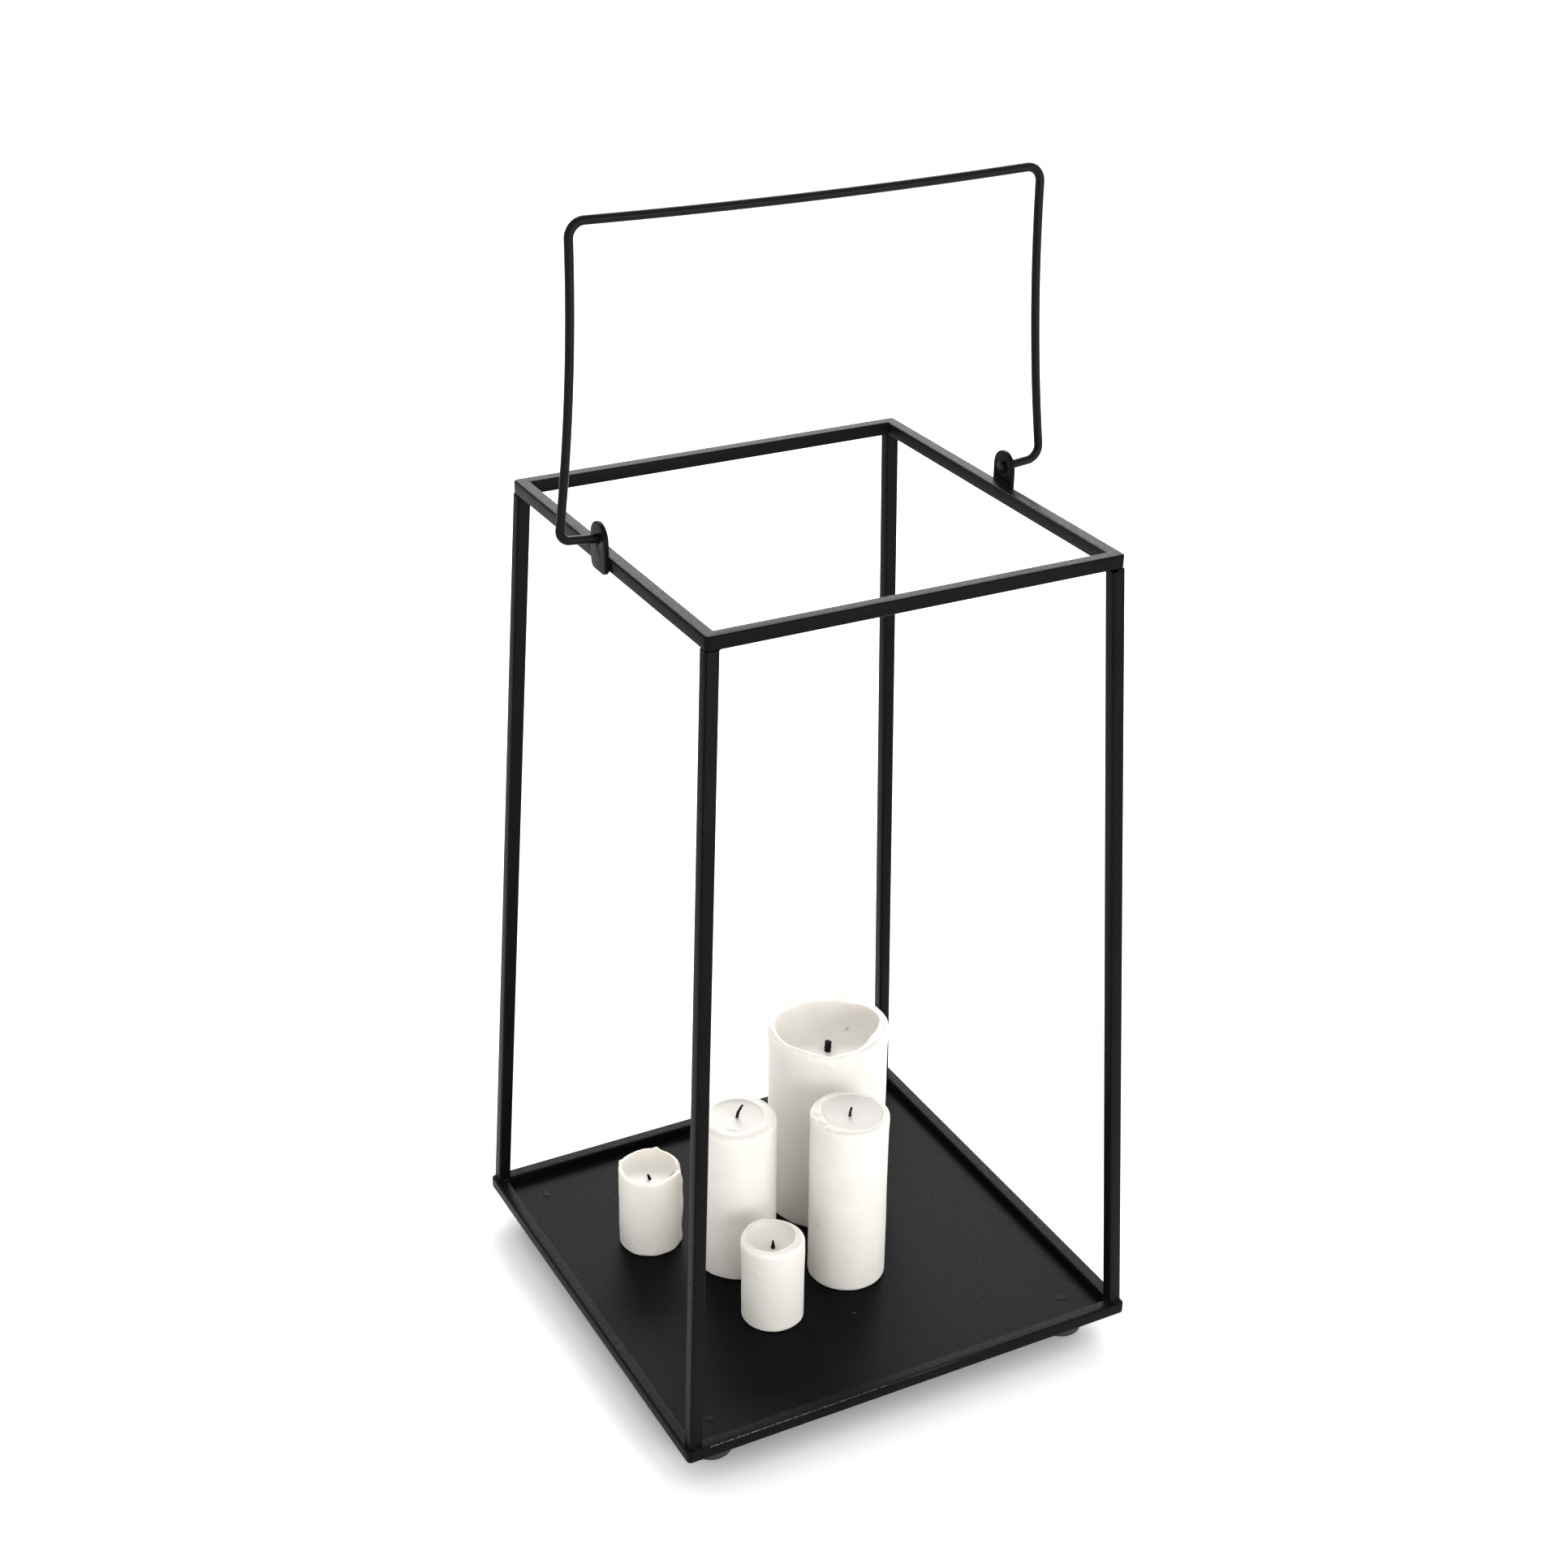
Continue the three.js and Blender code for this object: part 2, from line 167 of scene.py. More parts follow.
class LanternCandleSettings(bpy.types.PropertyGroup):
    """Sizes and colours of the candles, small left to large back."""

    rim: lengths("Rims", "Wax left round each burnt hollow", 2.0, 8.5, 4.6, 3.8, 2.6)
    hollow: lengths("Hollows", "Depth of each burnt hollow", 10, 1.6, 8, 2.5, 20)
    shoulder: lengths("Shoulders", "Rounding of each candle's top edge", 1.4, 4.5, 2.6, 1.8, 1.4)
    foot: length("Foot edge", "Rounding where a candle stands on the tray", mm(1.5))
    wick: lengths("Wicks", "Radius of each wick", 1.1, 1.0, 1.2, 0.9, 2.4)
    stub: lengths("Wick stubs", "Height of each wick above the wax", 3.4, 9, 5.2, 6, 6.6)
    wax: paint("Wax", "Colour of clean wax", "#dddad4")
    wax_deep: paint("Wax, mottled", "Colour of the denser patches", "#d3cfc8")
    # This colour is also the colour of the painted shade on the candles' tops and in a crease.
    soot_and_shade: paint("Soot", "Colour of soot left in the wax", "#3a3734")
    char: paint("Charred wick", "Colour of the burnt wick", "#0d0c0b")
    ash: paint("Ash", "Colour of the ash on the wick's threads", "#2e2b28")


class LanternStageSettings(bpy.types.PropertyGroup):
    """Floor, light and camera."""

    floor: paint("Floor", "Colour of the floor", "#fbfbfb")
    lens: bpy.props.FloatProperty(
        name="Lens", description="Focal length on a 36 mm sensor", default=57.84, unit="CAMERA"
    )
    camera: bpy.props.FloatVectorProperty(
        name="Camera", description="Where the camera stands", size=3,
        default=(-0.62468, -1.14489, 1.0218), subtype="TRANSLATION", unit="LENGTH",
    )
    aim: bpy.props.FloatVectorProperty(
        name="Aim", description="How the camera is turned", size=3,
        default=(1.09722, -0.01134, -0.48436), subtype="EULER", unit="ROTATION",
    )


# ------------------------------------------------------------------ modelling helpers


def only(piece):
    """Leaves one object selected and active, in object mode."""
    if bpy.context.object and bpy.context.object.mode != "OBJECT":
        bpy.ops.object.mode_set(mode="OBJECT")
    bpy.ops.object.select_all(action="DESELECT")
    piece.select_set(True)
    bpy.context.view_layer.objects.active = piece


def begin(name):
    """Names the primitive just added, puts its place in its mesh, and opens it in edit mode."""
    piece = bpy.context.object
    piece.name = piece.data.name = name
    only(piece)
    bpy.ops.object.transform_apply(location=True, rotation=True, scale=True)
    bpy.ops.object.mode_set(mode="EDIT")
    bpy.ops.mesh.select_mode(type="VERT")
    return piece


def pick(kind, test):
    """In edit mode, selects what passes a test of its middle and of its direction or normal."""
    bpy.ops.mesh.select_mode(type=kind)
    bpy.ops.mesh.select_all(action="DESELECT")
    mesh = bmesh.from_edit_mesh(bpy.context.object.data)
    for item in {"VERT": mesh.verts, "EDGE": mesh.edges, "FACE": mesh.faces}[kind]:
        ends = [item] if kind == "VERT" else list(item.verts)
        middle = sum((v.co for v in ends), Vector()) / len(ends)
        way = (ends[1].co - ends[0].co).normalized() if kind == "EDGE" else item.normal
        if test(middle, way):
            item.select_set(True)
    mesh.select_flush_mode()
    bmesh.update_edit_mesh(bpy.context.object.data)


def modify(piece, kind, **settings):
    """Adds a modifier with its settings and applies it."""
    only(piece)
    modifier = piece.modifiers.new(kind.title(), kind)
    for name, value in settings.items():
        setattr(modifier, name, value)
    bpy.ops.object.modifier_apply(modifier=modifier.name)


def pick_all():
    """In edit mode, selects the whole piece."""
    bpy.ops.mesh.select_all(action="SELECT")


def face_outwards():
    """In edit mode, turns the whole piece's faces outwards."""
    pick_all()
    bpy.ops.mesh.normals_make_consistent(inside=False)


def along_z(at, way):
    """Passes upright edges, and faces that point up or down."""
    return abs(way.z) > 0.9


def across_z(at, way):
    """Passes level edges, and upright faces."""
    return abs(way.z) < 0.1


def upwards(at, way):
    """Passes faces that point up."""
    return way.z > 0.9


def soften(piece, width, segments, sharpest):
    """Bevels the edges that turn by more than an angle in degrees."""
    modify(
        piece, "BEVEL", width=width, segments=segments,
        limit_method="ANGLE", angle_limit=math.radians(sharpest),
    )


def cut_away(piece):
    """Cuts the shape just added out of a piece."""
    cutter = bpy.context.object
    modify(piece, "BOOLEAN", object=cutter, operation="DIFFERENCE", solver="EXACT")
    bpy.data.objects.remove(cutter)


def drill(piece, place, radius, depth, axis="Z"):
    """Cuts a round hole through a piece."""
    turn = (0, QUARTER, 0) if axis == "X" else (0, 0, 0)
    bpy.ops.mesh.primitive_cylinder_add(
        vertices=48, radius=radius, depth=depth, location=place, rotation=turn
    )
    cut_away(piece)


def block(low, high):
    """Adds a box between two corners."""
    bpy.ops.mesh.primitive_cube_add(size=1, location=(low + high) / 2, scale=high - low)


def copy_of(piece, name, turn=0.0):
    """A copy with its own mesh, turned about the lantern's upright axis."""
    only(piece)
    bpy.ops.object.duplicate()
    twin = bpy.context.object
    twin.name = twin.data.name = name
    twin.rotation_euler.z = turn
    bpy.ops.object.transform_apply(location=True, rotation=True, scale=True)
    return twin


def hand_over(piece, material, body, slot, *nodes, angle=35):
    """Shades a finished piece, gives it its material, and puts it on its body."""
    only(piece)
    bpy.ops.object.shade_smooth_by_angle(angle=math.radians(angle))
    piece.data.materials.clear()
    piece.data.materials.append(material)
    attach(piece, body)
    if nodes:
        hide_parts(*nodes)


def put_on_frame(piece, *nodes, kind="tube", angle=35):
    """Hands over a powder-coated piece of the frame."""
    hand_over(piece, steel(kind), STEEL_BODY, "coated_steel", *nodes, angle=angle)


def merge_doubles():
    """In edit mode, merges the points that lie in one place."""
    pick_all()
    bpy.ops.mesh.remove_doubles(threshold=SAME_PLACE)


def step(move, scale=None, centre=None):
    """Extrudes what is selected by a move, and may scale the new end about a point."""
    bpy.ops.mesh.extrude_region_move(TRANSFORM_OT_translate={"value": move})
    if scale:
        bpy.ops.transform.resize(value=scale, center_override=centre)


def turned(name, outline, steps, centre):
    """Turns an outline of (radius, height) points round an upright axis through centre."""
    first = Vector((outline[0][0], 0, outline[0][1])) + centre
    bpy.ops.mesh.primitive_plane_add(size=MM, location=first)
    piece = begin(name)
    pick_all()
    bpy.ops.mesh.merge(type="CENTER")
    for (r0, z0), (r1, z1) in zip(outline, outline[1:]):
        step((r1 - r0, 0, z1 - z0))
    pick_all()
    bpy.ops.mesh.spin(steps=steps, angle=2 * math.pi, center=centre, axis=(0, 0, 1))
    merge_doubles()
    face_outwards()
    return piece


def arc(centre, radius, start, end, count, height=None):
    """Points on an arc, or on a quarter of an ellipse of another height."""
    rise = radius if height is None else height
    angles = [math.radians(start + (end - start) * i / count) for i in range(count + 1)]
    return [(centre[0] + radius * math.cos(a), centre[1] + rise * math.sin(a)) for a in angles]


def sweep(corners, reaches, steps):
    """Carries the selected loop along a line of corners in one upright plane. Each inner corner
    is an arc that starts and ends its reach away from it, spun about its centre."""
    here = corners[0]
    for i in range(1, len(corners) - 1):
        into = (corners[i] - corners[i - 1]).normalized()
        out = (corners[i + 1] - corners[i]).normalized()
        turn = into.angle(out)
        axis = into.cross(out).normalized()
        start = corners[i] - into * reaches[i - 1]
        if (start - here).length > SAME_PLACE:
            step(start - here)
        inward = axis.cross(into)
        centre = start + inward * (reaches[i - 1] / math.tan(turn / 2))
        bpy.ops.mesh.spin(steps=steps[i - 1], angle=-turn, center=centre, axis=axis)
        here = corners[i] + out * reaches[i - 1]
    step(corners[-1] - here)


# ------------------------------------------------------------------ materials


# A colour Mix node's sockets: its factor, its two colours, and the mix it gives.
FACTOR, FIRST, SECOND, MIXED = 0, 6, 7, 2
# The rubbed line on the front base rail, in millimetres: how far in from the rail's top outer edge
# it runs, how far from its middle it is clear and gone, and where along X it starts, is clearest
# and is gone.
WEAR_IN, WEAR_CLEAR, WEAR_GONE = 0.35, 0.15, 0.5
WEAR_START, WEAR_BEGUN, WEAR_CLEAREST, WEAR_END = -136.5, -135, -134, 60
WEAR_SHARE = 0.48
PATCHY = (0.35, 0.6)
# Each coat's roughness, how much its grit stands out, and how strongly it reflects.
COATS = {"tube": (0.38, 0.5, 0.035), "sheet": (0.42, 0.35, 0.03), "wire": (0.34, 1.3, 0.08)}


def add(tree, kind, settings=None, links=None):
    """Adds a shader node, sets its own settings and its sockets, and links other nodes to it, by
    an output that is given or else by their first."""
    node = tree.nodes.new(f"ShaderNode{kind}")
    for name, value in (settings or {}).items():
        if isinstance(name, str) and hasattr(node, name):
            setattr(node, name, value)
        else:
            node.inputs[name].default_value = value
    for name, source in (links or {}).items():
        output = source.outputs[0] if hasattr(source, "outputs") else source
        tree.links.new(output, node.inputs[name])
    return node


def start_material(name):
    """A material with an empty node tree, and the coordinates that its patterns follow."""
    material = bpy.data.materials.new(name)
    material.use_nodes = True
    tree = material.node_tree
    tree.nodes.clear()
    return material, tree, add(tree, "TexCoord").outputs["Object"]


def pitch(size_mm):
    """The scale that gives a noise pattern that pitch in millimetres."""
    return 1 / mm(size_mm)


def powder_coat(name, colours, roughness, speckle, level):
    """Polyester powder, sprayed on blasted steel and baked: satin black with a fine orange peel,
    a little paler where it has been handled, and rubbed thin along one front edge."""
    material, tree, place = start_material(name)
    # Orange peel: waves 1.8 mm apart, and grit 0.6 mm apart drawn at 0.9 mm so that it shows.
    peel, grit, cloud = [
        add(tree, "TexNoise", {"Scale": pitch(apart), "Detail": detail}, {"Vector": place})
        for apart, detail in ((1.8, 2.0), (0.9, 1.0), (45, 3.0))
    ]
    relief = add(tree, "Math", {"operation": "MULTIPLY_ADD", 1: speckle}, {0: grit, 2: peel})
    bump = add(tree, "Bump", {"Strength": 0.35, "Distance": mm(0.06)}, {"Height": relief})
    tone = add(
        tree, "Mix", {"data_type": "RGBA", FIRST: colours.coat, SECOND: colours.coat_dust},
        {FACTOR: cloud},
    )
    # The rubbed line, strongest at its left end: how near the edge, how far along, how gritty.
    low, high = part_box("base_rail_front")
    edge = (0, low.y + mm(WEAR_IN), high.z - mm(WEAR_IN))
    section = add(tree, "VectorMath", {"operation": "MULTIPLY", 1: (0, 1, 1)}, {0: place})
    gap = add(tree, "VectorMath", {"operation": "DISTANCE", 1: edge}, {0: section})
    line = add(
        tree, "MapRange",
        {"interpolation_type": "SMOOTHSTEP", "From Min": mm(WEAR_GONE), "From Max": mm(WEAR_CLEAR)},
        {"Value": gap.outputs["Value"]},
    )
    along = add(tree, "SeparateXYZ", None, {"Vector": place})
    wear = line
    for low, high, share, source in (
        (mm(WEAR_END), mm(WEAR_CLEAREST), WEAR_SHARE, along),
        (mm(WEAR_START), mm(WEAR_BEGUN), 1.0, along),
        (*PATCHY, 1.0, grit),
    ):
        part = add(
            tree, "MapRange", {"From Min": low, "From Max": high, "To Max": share},
            {"Value": source},
        )
        wear = add(tree, "Math", {"operation": "MULTIPLY"}, {0: wear, 1: part})
    shown = add(
        tree, "Mix", {"data_type": "RGBA", SECOND: colours.bare},
        {FACTOR: wear, FIRST: tone.outputs[MIXED]},
    )
    sheen = add(
        tree, "MapRange",
        {"From Min": 0.3, "From Max": 0.7, "To Min": roughness - 0.05, "To Max": roughness + 0.07},
        {"Value": peel},
    )
    shader = add(
        tree, "BsdfPrincipled", {"IOR": 1.5, "Specular IOR Level": level},
        {"Base Color": shown.outputs[MIXED], "Roughness": sheen, "Normal": bump},
    )
    add(tree, "OutputMaterial", None, {"Surface": shader})
    return material


def moulded_rubber(colours):
    """Black rubber, compression moulded: matt, with a faint grain and paler scuffs."""
    material, tree, place = start_material("moulded_black_rubber")
    # Mould grain 0.7 mm apart, and scuffs 7 mm apart.
    grain = add(tree, "TexNoise", {"Scale": pitch(0.7), "Detail": 2.0}, {"Vector": place})
    scuff = add(tree, "TexNoise", {"Scale": pitch(7), "Detail": 4.0}, {"Vector": place})
    tone = add(
        tree, "Mix", {"data_type": "RGBA", FIRST: colours.rubber, SECOND: colour("#262626")},
        {FACTOR: scuff},
    )
    bump = add(tree, "Bump", {"Strength": 0.4, "Distance": mm(0.08)}, {"Height": grain})
    shader = add(
        tree, "BsdfPrincipled", {"Roughness": 0.72, "IOR": 1.52},
        {"Base Color": tone.outputs[MIXED], "Normal": bump},
    )
    add(tree, "OutputMaterial", None, {"Surface": shader})
    return material


def cast_wax(colours):
    """Paraffin wax, cast in a smooth mould: white, slightly see-through, softly glossy, with denser
    patches, handling marks, and the soot and painted shade that its own attribute sets."""
    material, tree, place = start_material("cast_paraffin_wax")
    # Cooling mottle 11 mm apart, and handling marks 2.5 mm apart.
    mottle = add(tree, "TexNoise", {"Scale": pitch(11), "Detail": 3.0}, {"Vector": place})
    marks = add(tree, "TexNoise", {"Scale": pitch(2.5), "Detail": 3.0}, {"Vector": place})
    tone = add(
        tree, "Mix", {"data_type": "RGBA", FIRST: colours.wax, SECOND: colours.wax_deep},
        {FACTOR: mottle},
    )
    # The piece's attribute carries soot and painted shade: darker tops and a shaded crease.
    soot_and_shade = add(tree, "Attribute", {"attribute_name": "soot_and_shade"})
    shown = add(
        tree, "Mix", {"data_type": "RGBA", SECOND: colours.soot_and_shade},
        {FACTOR: soot_and_shade.outputs["Fac"], FIRST: tone.outputs[MIXED]},
    )
    bump = add(tree, "Bump", {"Strength": 0.3, "Distance": mm(0.12)}, {"Height": marks})
    gloss = add(tree, "MapRange", {"To Min": 0.38, "To Max": 0.56}, {"Value": marks})
    shader = add(
        tree, "BsdfPrincipled",
        {"IOR": 1.44, "Subsurface Weight": 0.4, "Subsurface Radius": (1.0, 0.86, 0.72),
         "Subsurface Scale": mm(5)},
        {"Base Color": shown.outputs[MIXED], "Roughness": gloss, "Normal": bump},
    )
    add(tree, "OutputMaterial", None, {"Surface": shader})
    return material


def charred_cotton(colours):
    """Braided cotton wick, burnt: matt black char with grey ash on the threads' crowns."""
    material, tree, place = start_material("charred_cotton_braid")
    # Braid crossings 0.8 mm apart, and flakes of ash 0.5 mm apart.
    braid = add(tree, "TexVoronoi", {"Scale": pitch(0.8), "feature": "F1"}, {"Vector": place})
    flake = add(tree, "TexNoise", {"Scale": pitch(0.5), "Detail": 3.0}, {"Vector": place})
    ash = add(
        tree, "MapRange", {"From Min": 0.55, "From Max": 0.8, "To Max": 0.7}, {"Value": flake}
    )
    tone = add(
        tree, "Mix", {"data_type": "RGBA", FIRST: colours.char, SECOND: colours.ash}, {FACTOR: ash}
    )
    bump = add(tree, "Bump", {"Strength": 0.8, "Distance": mm(0.2)}, {"Height": braid})
    shader = add(
        tree, "BsdfPrincipled", {"Roughness": 0.95, "Specular IOR Level": 0.2},
        {"Base Color": tone.outputs[MIXED], "Normal": bump},
    )
    add(tree, "OutputMaterial", None, {"Surface": shader})
    return material


def painted_floor(colours):
    """A pale painted studio floor, matt all over with the faintest roller texture."""
    material, tree, place = start_material("matt_painted_floor")
    roller = add(tree, "TexNoise", {"Scale": pitch(8), "Detail": 2.0}, {"Vector": place})
    bump = add(tree, "Bump", {"Strength": 0.05, "Distance": mm(0.1)}, {"Height": roller})
    shader = add(
        tree, "BsdfPrincipled",
        {"Base Color": colours.floor, "Roughness": 0.9, "Specular IOR Level": 0.1},
        {"Normal": bump},
    )
    add(tree, "OutputMaterial", None, {"Surface": shader})
    return material


def steel(kind):
    """The powder coat of the tube, the sheet or the wire, made once each."""
    name = f"powder_coated_steel_{kind}"
    known = bpy.data.materials.get(name)
    return known or powder_coat(name, bpy.context.scene.lantern_frame, *COATS[kind])


# ------------------------------------------------------------------ frame


def square_ring(name, width, low, high, tube, corner, edge):
    """A square ring of tube: a flat block, inset and opened, with its corners ground round."""
    half, inner = width / 2, width / 2 - tube
    block(Vector((-half, -half, low)), Vector((half, half, high)))
    piece = begin(name)
    pick("FACE", along_z)
    bpy.ops.mesh.inset(thickness=tube)
    bpy.ops.mesh.delete(type="FACE")

    def inner_edges(at, way):
        return across_z(at, way) and abs(max(abs(at.x), abs(at.y)) - inner) < SLACK

    pick("EDGE", inner_edges)
    bpy.ops.mesh.bridge_edge_loops()
    face_outwards()
    pick("EDGE", lambda at, way: along_z(at, way) and abs(at.x) > inner + tube / 2)
    bpy.ops.mesh.bevel(offset=corner, segments=6, affect="EDGES")
    soften(piece, edge, 4, 50)
    return piece


def mitre(ring, name, turn):
    """One side of a ring, cut at both ends on the slant of its mitres."""
    rail = copy_of(ring, name, turn)
    bpy.ops.object.mode_set(mode="EDIT")
    for slant in ((1, 1, 0), (-1, 1, 0)):
        pick_all()
        bpy.ops.mesh.bisect(plane_co=(0, 0, 0), plane_no=slant, clear_outer=True)
    merge_doubles()
    bpy.ops.mesh.fill_holes(sides=0)
    only(rail)
    return rail


class LANTERN_OT_rings(bpy.types.Operator):
    """Models the base ring and the top ring as four mitred lengths of square tube each"""

    bl_idname = "lantern.rings"
    bl_label = "Base and top rings"

    def execute(self, context):
        settings = context.scene.lantern_frame
        for ring in ("base", "top"):
            low, high = span(*[f"{ring}_rail_{side}" for side in SIDES])
            tube = high.z - low.z
            whole = square_ring(
                f"{ring}_ring", high.x - low.x, low.z, high.z, tube,
                settings.ring_corner, settings.tube_edge,
            )
            for number, side in enumerate(SIDES):
                rail = mitre(whole, f"{ring}_rail_{side}_tube", -number * QUARTER)
                rail.rotation_euler.z = number * QUARTER
                bpy.ops.object.transform_apply(location=True, rotation=True, scale=True)
                put_on_frame(rail, f"{ring}_rail_{side}")
            bpy.data.objects.remove(whole)
        return {"FINISHED"}


# The gap at the front right leg's top, in millimetres: how far it starts outside the corner, and
# how far it reaches in from it and above it.
GAP_PAST = (0.3, 0.3, 0)
GAP_REACH = (3.4, 5, 0.2)


class LANTERN_OT_legs(bpy.types.Operator):
    """Models one leaning leg of square tube and copies it round the other three corners"""

    bl_idname = "lantern.legs"
    bl_label = "Legs"

    def execute(self, context):
        settings = context.scene.lantern_frame
        low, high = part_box("leg_front_left")
        tube = tube_width()
        lean = high.x - tube - low.x
        block(low, Vector((low.x + tube, low.y + tube, high.z)))
        leg = begin("leg_front_left_tube")
        pick("FACE", upwards)
        bpy.ops.transform.translate(value=(lean, lean, 0))
        pick("EDGE", along_z)
        bpy.ops.mesh.bevel(offset=settings.tube_edge, segments=4, affect="EDGES")
        pick("EDGE", across_z)
        bpy.ops.mesh.bevel(offset=settings.seam, segments=2, affect="EDGES")
        only(leg)
        legs = [leg] + [
            copy_of(leg, f"leg_{corner}_tube", number * QUARTER)
            for number, corner in enumerate(CORNERS[1:], start=1)
        ]
        # The front right leg's weld never filled the gap round its inner front corner.
        low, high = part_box("leg_front_right")
        gap_from = Vector((low.x, low.y + lean, high.z - settings.slit)) - Vector(mm(*GAP_PAST))
        gap_to = Vector((low.x, low.y + lean, high.z)) + Vector(mm(*GAP_REACH))
        block(gap_from, gap_to)
        cut_away(legs[1])
        for corner, piece in zip(CORNERS, legs):
            put_on_frame(piece, f"leg_{corner}")
        return {"FINISHED"}


def weld_bead(start, end, radius):
    """A short run of weld: a rod with tapered ends, rippled and lumpy as the puddle froze."""
    way = end - start
    turn = Vector((0, 0, 1)).rotation_difference(way).to_euler()
    bpy.ops.mesh.primitive_cylinder_add(
        vertices=12, radius=radius, depth=way.length, location=(start + end) / 2, rotation=turn
    )
    bead = begin("bead")
    pick("EDGE", lambda at, along: abs(along.dot(way.normalized())) > 0.99)
    bpy.ops.mesh.subdivide(number_cuts=max(6, int(way.length / mm(0.7))))
    only(bead)
    for vertex in bead.data.vertices:
        share = (vertex.co - start).dot(way) / way.length_squared
        spine = start + way * share
        taper = math.sqrt(max(0.0, 1 - (2 * share - 1) ** 4)) * 0.75 + 0.25
        ripple = 1 + 0.1 * math.sin(share * way.length / mm(RIPPLE) * 2 * math.pi)
        lump = 1 + 0.35 * noise.noise(vertex.co * pitch(2.2))
        vertex.co = spine + (vertex.co - spine) * taper * ripple * lump
    modify(bead, "SUBSURF", levels=1, render_levels=1)
    return bead


def welded(name, runs):
    """Lays the runs of one joint, each a start, an end and a radius, as one piece."""
    beads = [weld_bead(*run) for run in runs]
    only(beads[0])
    for bead in beads[1:]:
        bead.select_set(True)
    bpy.ops.object.join()
    piece = bpy.context.object
    piece.name = piece.data.name = name
    put_on_frame(piece, angle=60)


# Welds, in millimetres: the ripples' pitch, how far a bead's axis lies inside a leg's end, how far
# a run stops short of the leg's corners, and where the tray's welds lie along a side.
RIPPLE = 1.3
WELD_IN = 0.2
WELD_SHORT = 1
THIN_WELD_SHORT = (1.5, 2)
TRAY_WELDS = (-95, 0, 95)
TRAY_WELD_ENDS = (-8, 8)


class LANTERN_OT_welds(bpy.types.Operator):
    """Lays weld beads round the legs' ends, beside the handle tabs and under the tray's edge"""

    bl_idname = "lantern.welds"
    bl_label = "Welds"

    def execute(self, context):
        size = context.scene.lantern_frame.bead
        low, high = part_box("leg_front_left")
        tube = tube_width()
        flips = [Matrix.Rotation(number * QUARTER, 3, "Z") for number in range(4)]
        short = mm(WELD_SHORT)
        thin_near, thin_far = mm(*THIN_WELD_SHORT)

        def both_ways(a, b, radius):
            """A run drawn in plan, and its mirror image across the corner's diagonal."""
            return [(a, b, radius), (a[::-1], b[::-1], radius)]

        def turned_to(flip, level, runs):
            """Turns runs drawn in plan for the front left to another corner or side."""
            return [(flip @ Vector((*a, level)), flip @ Vector((*b, level)), r) for a, b, r in runs]

        for corner, flip in zip(CORNERS, flips):
            outer, inner = low.x, low.x + tube
            runs = both_ways((inner, outer + short), (inner, inner - short), size)
            runs += both_ways((outer, outer + thin_near), (outer, inner - thin_far), size * 0.6)
            welded(f"weld_base_{corner}", turned_to(flip, low.z + mm(WELD_IN), runs))
            inner, outer = high.x, high.x - tube
            runs = both_ways((inner, outer + short), (inner, inner - short), size * 0.85)
            if corner == "front_right":
                del runs[1]
            welded(f"weld_top_{corner}", turned_to(flip, high.z - mm(WELD_IN), runs))
        ring_low, ring_high = span("top_rail_front")
        foot, head = ring_low.z + mm(3.2), ring_high.z - mm(1)
        groove = ring_high.z - mm(0.3)
        for side in ("right", "left"):
            tab_low, tab_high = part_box(f"handle_tab_{side}")
            face = tab_low.x if side == "right" else tab_high.x
            out = face + math.copysign(mm(0.4), face)
            ends = (tab_low.y, tab_high.y)
            runs = [(Vector((out, y, foot)), Vector((out, y, head)), size * 0.8) for y in ends]
            # The last run lies in the groove between the tab and the top of the rail.
            start, end = Vector((face, ends[0] + mm(0.5), groove)), Vector((face, ends[1], groove))
            runs.append((start, end - Vector((0, mm(0.5), 0)), size * 0.7))
            welded(f"weld_tab_{side}", runs)
        tray_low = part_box("tray_plate")[0]
        runs = [
            (*[(mm(middle + end), tray_low.y) for end in TRAY_WELD_ENDS], size * 0.7)
            for middle in TRAY_WELDS
        ]
        for side, flip in zip(SIDES, flips):
            welded(f"weld_tray_{side}", turned_to(flip, tray_low.z + mm(0.15), runs))
        return {"FINISHED"}


# Air round the wire in a tab's hole, in millimetres.
WIRE_PLAY = 0.4


class LANTERN_OT_tabs(bpy.types.Operator):
    """Models the right handle tab with its pivot hole and copies it to the left"""

    bl_idname = "lantern.tabs"
    bl_label = "Handle tabs"

    def execute(self, context):
        settings = context.scene.lantern_frame
        low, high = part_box("handle_tab_right")
        low.z -= settings.tab_drop
        size = high - low
        middle = (low.z + high.z) / 2
        block(low, high)
        tab = begin("handle_tab_right_plate")
        # Its top is a half circle, a hair short of meeting itself.
        pick("EDGE", lambda at, way: abs(way.x) > 0.9 and at.z > middle)
        bpy.ops.mesh.bevel(offset=size.y * 0.499, segments=14, affect="EDGES")
        pick("EDGE", lambda at, way: abs(way.x) > 0.9 and at.z < low.z + SLACK)
        bpy.ops.mesh.bevel(offset=settings.tab_corner, segments=6, affect="EDGES")
        only(tab)
        pivot = high.z - size.y / 2
        hole = context.scene.lantern_handle.wire / 2 + mm(WIRE_PLAY)
        drill(tab, ((low.x + high.x) / 2, 0, pivot), hole, size.x * 3, "X")
        soften(tab, settings.tab_edge, 3, 60)
        twin = copy_of(tab, "handle_tab_left_plate", math.pi)
        put_on_frame(tab, "handle_tab_right")
        put_on_frame(twin, "handle_tab_left")
        return {"FINISHED"}


# ------------------------------------------------------------------ tray and feet


# In millimetres: how wide a border of the tray its welds hold flat, and its rivet holes' radius.
HELD = 30
RIVET_HOLE = 1.9


